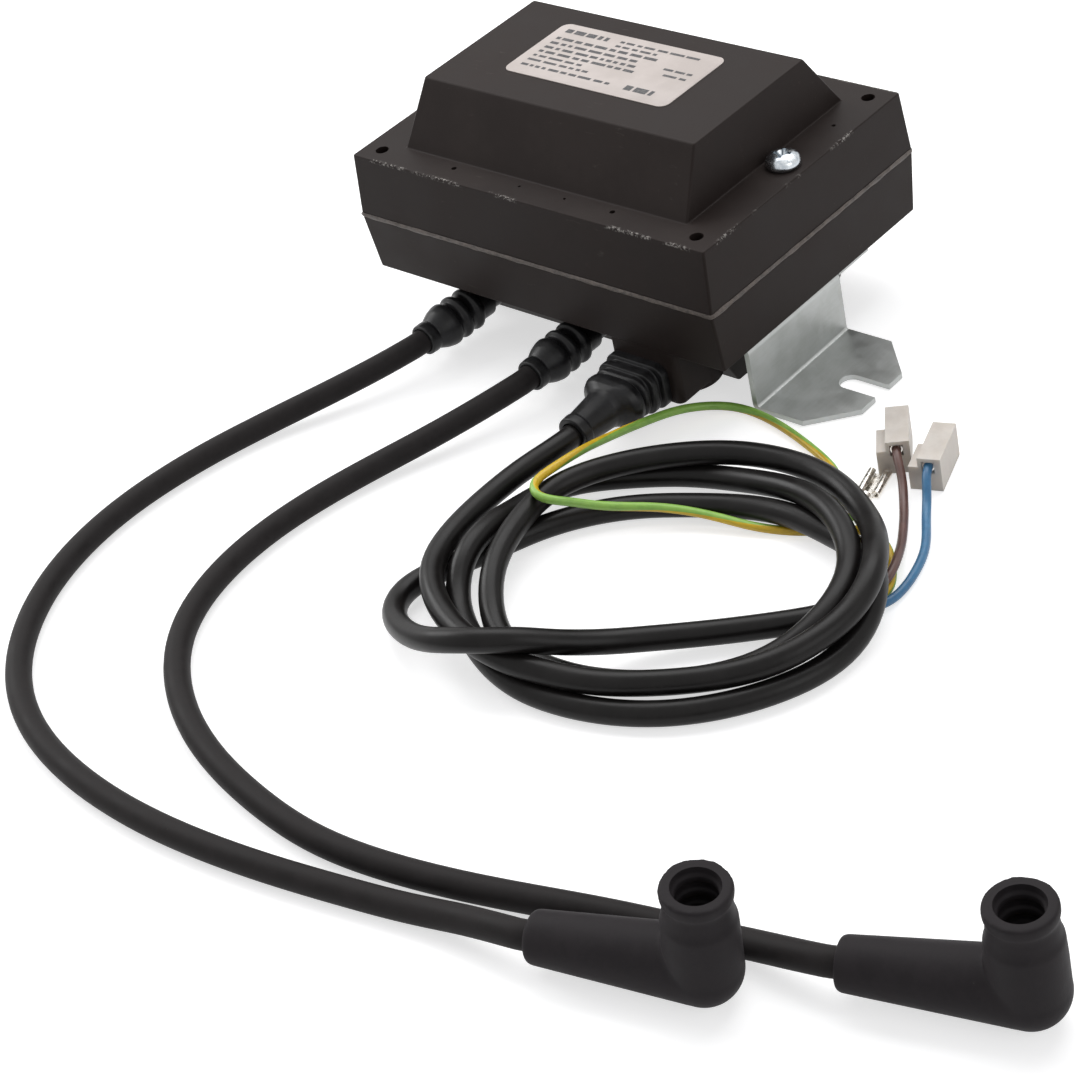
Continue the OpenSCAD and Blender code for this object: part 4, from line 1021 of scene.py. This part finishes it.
# %% Boots
STEM = [(0, 0), (0, 8.72), (9, 8.6), (15.2, 8.35), (15.9, 8.0), (17.2, 7.72), (20.0, 7.45), (20.9, 7.5),
        (21.7, 7.95), (23.9, 7.9), (24.2, 7.7), (24.2, 0)]
SLEEVE = [(0, 0), (0, 8.72), (2, 8.7), (39.2, 6.15), (39.9, 5.7), (40, 5.5), (40, 0)]
SOCKET = [(3.2, 0), (3.2, 3.5), (10.3, 3.5), (10.3, 5.1), (12.4, 5.15), (13.0, 4.45), (14.2, 4.45),
          (14.8, 5.15), (16.3, 5.15), (16.9, 4.5), (18.1, 4.5), (18.7, 5.15), (20.3, 5.2), (20.9, 4.65),
          (22.0, 4.7), (22.7, 5.3), (24.0, 5.5), (26.0, 5.6), (26.0, 0)]
RECESS = [(38.5, 0), (38.5, 3.6), (41, 3.75), (41, 0)]
ELBOW_R, LIP_FROM, LIP_H, LIP_INNER_R = 8.8, 22.3, 1.9, 6.6
TORN_LIKE = {"left": 7.3, "right": 2.1}
BALL = [(ELBOW_R * math.sin(math.radians(a)), ELBOW_R * math.cos(math.radians(a))) for a in range(-90, 91, 6)]


def torn_lip(piece, axis, seed):
    """Moves the outer points near the stem's top outwards by noise, as a mould's flash tears."""
    for vertex in piece.data.vertices:
        x, y, z = (c / MM for c in vertex.co)
        up = x * axis[0] + z * axis[2]
        if up > LIP_FROM:
            angle = math.atan2(y, x - up * axis[0])
            spot = Vector((math.cos(angle), math.sin(angle), seed))
            tear = noise.noise(spot * 1.6) + 0.35 * noise.noise(spot * 9)
            rim = (up - LIP_FROM) / LIP_H * max(0.0, tear)
            out = Vector((math.cos(angle), math.sin(angle), 0.25))
            if math.hypot(x - up * axis[0], y) > LIP_INNER_R:
                vertex.co += out * (0.5 * rim * MM)


boot = {}
for side in ("left", "right"):
    tip = math.radians(boot_tip[side])
    stem_axis, along_axis, across = (-math.sin(tip), 0, math.cos(tip)), (1, 0, 0), (0, 1, 0)
    bodies = [turned(BALL)]
    for profile, axis in ((STEM, stem_axis), (SLEEVE, along_axis)):
        points, faces = turned(filleted(profile, 0.35))
        bodies.append((placed(points, (0, 0, 0), axis, across), faces))
    piece = boot[side] = joined(f"boot_{side}", bodies)
    step = piece.modifiers.new("merge", "REMESH")
    step.mode, step.voxel_size = "VOXEL", 0.42 * MM
    step = piece.modifiers.new("soften", "SMOOTH")
    step.factor, step.iterations = 0.5, 7
    baked(piece)
    torn_lip(piece, stem_axis, TORN_LIKE[side])
    for profile, axis in ((SOCKET, stem_axis), (RECESS, along_axis)):
        worked(piece, turned_piece("cutter", filleted(profile, 0.25), (0, 0, 0), axis, 48, across))
    turn = Matrix.Rotation(math.radians(boot_turn[side]), 4, "Z")
    piece.data.transform(Matrix.Translation(Vector(boot_at[side]) * MM) @ turn)
    shaded(piece, 50)
    dressed(piece, f"electrode_boot_{side}", "gland_rubber", "boot")
    print(piece.name, len(piece.data.polygons), "faces")

# %% [markdown]
# ## The adhesive in the joint
# The two halves of the case are glued, and the adhesive stands out of the joint as an uneven bead. Its
# cross section sits in the chamfers of both halves, and noise along the way round changes how far it
# stands out and how wide it smeared.

# %% Seam bead
outline = [np.array(p) for p in rounded_ring(CASE_L, CASE_W, CORNER_R, SEAM_Z, 6)]
outline = spaced(np.array([*outline, outline[0]]), 0.8)[:-1]
rings = []
for n, p in enumerate(outline):
    ahead = outline[(n + 1) % len(outline)] - outline[n - 1]
    out = np.array([ahead[1], -ahead[0], 0]) / np.linalg.norm(ahead)
    wave = sum(share * noise.noise(Vector(p * fine)) for share, fine in ((1, 0.16), (0.5, 0.55), (0.25, 1.4)))
    proud = min(0.5, max(0.08, 0.24 + 0.40 * wave))
    lift = 0.1 * noise.noise(Vector(p * 0.3 + 50))
    smear = max(0.0, 0.4 * noise.noise(Vector(p * 0.22 + 90)))
    rings.append([
        tuple(p + out * o + np.array([0, 0, z + lift * (1 if o > 0 else 0)]))
        for o, z in ((-0.62, 0), (-0.02, -0.64), (0.05, -0.66 - smear), (proud * 0.75, -0.42), (proud, -0.1),
                     (proud * 0.95, 0.18), (proud * 0.6, 0.46), (0.05, 0.66 + smear * 0.6), (-0.02, 0.64))
    ])
n = len(rings[0])
points = [q for ring in rings for q in ring]
faces = [
    (j * n + i, j * n + (i + 1) % n, (j + 1) % len(rings) * n + (i + 1) % n, (j + 1) % len(rings) * n + i)
    for j in range(len(rings)) for i in range(n)
]
bead = mesh_piece("joint_bead", points, faces, sharp=70)
dressed(bead, "seam_bead", "bead", "bead")
print("bead", len(rings), "sections")

# %% [markdown]
# ## Bars on the label
# Rows of plain dark bars stand for small type, about as dense as it. An image would do it too, but flat
# faces just above the film stay sharp at any distance, and a random length for each bar keeps the rows
# from looking ruled. Each row has its height on the label, its thickness, its start and its end.

# %% Label bars
random.seed(7)
LABEL_AT = (-0.5, 2.0, 76.52)
rows = [
    (10.6, 2.0, -26, -9), (10.9, 1.0, -6, 24), (8.6, 1.0, -6, 9), (6.2, 1.3, -26, 11), (3.5, 1.2, -26, 6),
    (0.9, 1.2, -26, 9), (-1.6, 1.2, -26, 10), (-4.1, 1.0, -26, -8), (-6.5, 1.0, -26, -3), (-9.4, 1.1, -26, 7),
    (-9.2, 2.4, 12, 22), (3.0, 1.0, 16, 26), (0.2, 1.0, 18, 27),
]
points, faces = [], []
for y, tall, x, end in rows:
    while x < end - 1.2:
        wide = min(end - x, random.uniform(1.2, 5.2))
        first = len(points)
        for dx, dy in ((0, 0), (wide, 0), (wide, tall), (0, tall)):
            points.append((LABEL_AT[0] + x + dx, LABEL_AT[1] + y - tall / 2 + dy, LABEL_AT[2]))
        faces.append(tuple(range(first, first + 4)))
        x += wide + random.uniform(0.7, 1.2)
bars = mesh_piece("label_bars", points, faces)
bars.data.shade_flat()
dressed(bars, "", "label", "print")
print("bars on the label:", len(faces))

# %% [markdown]
# ## Finishes on the CAD nodes
# A node whose solid already has the real shape keeps it. It gets its finish, and where its edges are
# sharp a bevel rounds them, because a real edge always catches a thin line of light.

# %% Carry the nodes over
NODES = {
    "compound": "potting_fill",
    "core": "core_e core_i magnetic_shunts",
    "nylon": "primary_bobbin secondary_bobbin_left secondary_bobbin_right line_housing neutral_housing",
    "copper": "primary_winding secondary_winding_left secondary_winding_right",
    "brass": "hv_terminal_left hv_terminal_right supply_terminals boot_contact_left boot_contact_right",
    "green": "earth_link",
    "zinc": "mounting_bracket bracket_nut screw_sleeve",
    "tin": "line_receptacle neutral_receptacle earth_receptacle",
}
for finish, names in NODES.items():
    for name in names.split():
        put(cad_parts[name], finish)
    print(finish, "on", names)


EDGES = {
    "mounting_bracket": 0.25, "bracket_nut": 0.3, "line_housing": 0.35, "neutral_housing": 0.35,
    "earth_receptacle": 0.08,
}
for name, width in EDGES.items():
    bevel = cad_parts[name].modifiers.new("rounded_edges", "BEVEL")
    bevel.width, bevel.segments = width * MM, 3
    bevel.limit_method, bevel.angle_limit = "ANGLE", math.radians(30)
    bevel.harden_normals = bevel.use_clamp_overlap = True
print("nodes with rounded edges:", len(EDGES))

# %% [markdown]
# ## What each cord is
# Each cord's length is measured along its line and printed, so it is not only drawn. Both ends of every
# cord are seen in the photograph. Short runs of the supply cable and of the earth core lie under other
# turns there, so those two lengths are less certain.

def declare(cord, path):
    print(cord.name, round(length_of(path)), "mm")


for side in ("left", "right"):
    declare(hv_lead[side], hv_path[side])
declare(supply_cable, supply_path)
for name, held in (("brown", "line"), ("blue", "neutral")):
    declare(core[name], core_path[name])
declare(core["earth"], earth_path)

# %% [markdown]
# ## Floor, lamps and world
# The photograph shows the object on white, with soft light from above and both sides. The floor takes
# shadows, and what it lacks to white is added only for rays that see it, from the camera, a reflection
# or clear plastic, so the object gets no more light from it. The world does the same: white where it is
# seen, and dim as a light.

# %% White floor and world
def seen_rays(finish):
    """1 for what the camera, a reflection or clear plastic sees, 0 for light on the object."""
    kinds = ("Camera", "Glossy", "Transmission")
    rays = [finish.node("ShaderNodeLightPath", out=f"Is {kind} Ray") for kind in kinds]
    return (rays[0] + rays[1] + rays[2]).clamped()


f = finishes["floor"] = Finish("floor", Roughness=0.9)
f.shader.inputs["Base Color"].default_value = (0.7, 0.7, 0.7, 1)
f.shader.inputs["Emission Strength"].default_value = 1.0
f.feed("Emission Color", f.mix(seen_rays(f), (0.0, 0.0, 0.0), (0.62, 0.62, 0.62)))
FLOOR_HALF, FLOOR_Z = 4, -0.0002
corners = [(x * FLOOR_HALF, y * FLOOR_HALF, FLOOR_Z) for x, y in ((-1, -1), (1, -1), (1, 1), (-1, 1))]
floor_data = bpy.data.meshes.new("floor")
floor_data.from_pydata(corners, [], [(0, 1, 2, 3)])
floor = bpy.data.objects.new("floor", floor_data)
scene.collection.objects.link(floor)
put(floor, "floor")
floor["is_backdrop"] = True

world = bpy.data.worlds.new("studio")
scene.world = world
world.use_nodes = True


class Surroundings(Finish):
    """The world's node tree, with the same ways to add nodes."""

    def __init__(self):
        self.tree = world.node_tree
        self.shader = self.tree.nodes["Background"]


room = Surroundings()
room.feed("Color", room.mix(seen_rays(room), (0.34, 0.34, 0.35), (1.0, 1.0, 1.0)))
print("floor", 2 * FLOOR_HALF, "m wide")

# %% [markdown]
# ## Lamps
# Three large area lamps make the soft light: one overhead and behind, a strong one on the left and a
# weak one on the right. A large lamp gives soft shadows and a broad sheen on the rubber. Each is turned
# to aim at a spot near the case.

# %% Lamps
def softbox(name, place, aim, size, power):
    data = bpy.data.lights.new(name, "AREA")
    data.shape, data.size, data.size_y = "RECTANGLE", size[0], size[1]
    data.energy = power
    lamp = bpy.data.objects.new(name, data)
    scene.collection.objects.link(lamp)
    lamp.location = place
    lamp.rotation_euler = (Vector(aim) - Vector(place)).to_track_quat("-Z", "Y").to_euler()
    print(name, power, "W")


softbox("overhead", (-0.25, 0.55, 1.3), (0.05, -0.1, 0.0), (1.5, 1.0), 15.0)
softbox("left_fill", (-1.35, -0.2, 0.95), (0.0, -0.1, 0.0), (0.8, 0.9), 12.0)
softbox("right_fill", (1.5, -0.2, 0.8), (0.1, -0.1, 0.0), (0.8, 1.0), 4.0)

# %% [markdown]
# ## The size of the finished model
# The dressed model has to fill the same box as the solids. The box round every piece that
# renders, with the floor left out, is measured and printed.

# %% Size of the model
low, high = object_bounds()
print("scene box", [round(c * 1000, 1) for c in (*low, *high)])
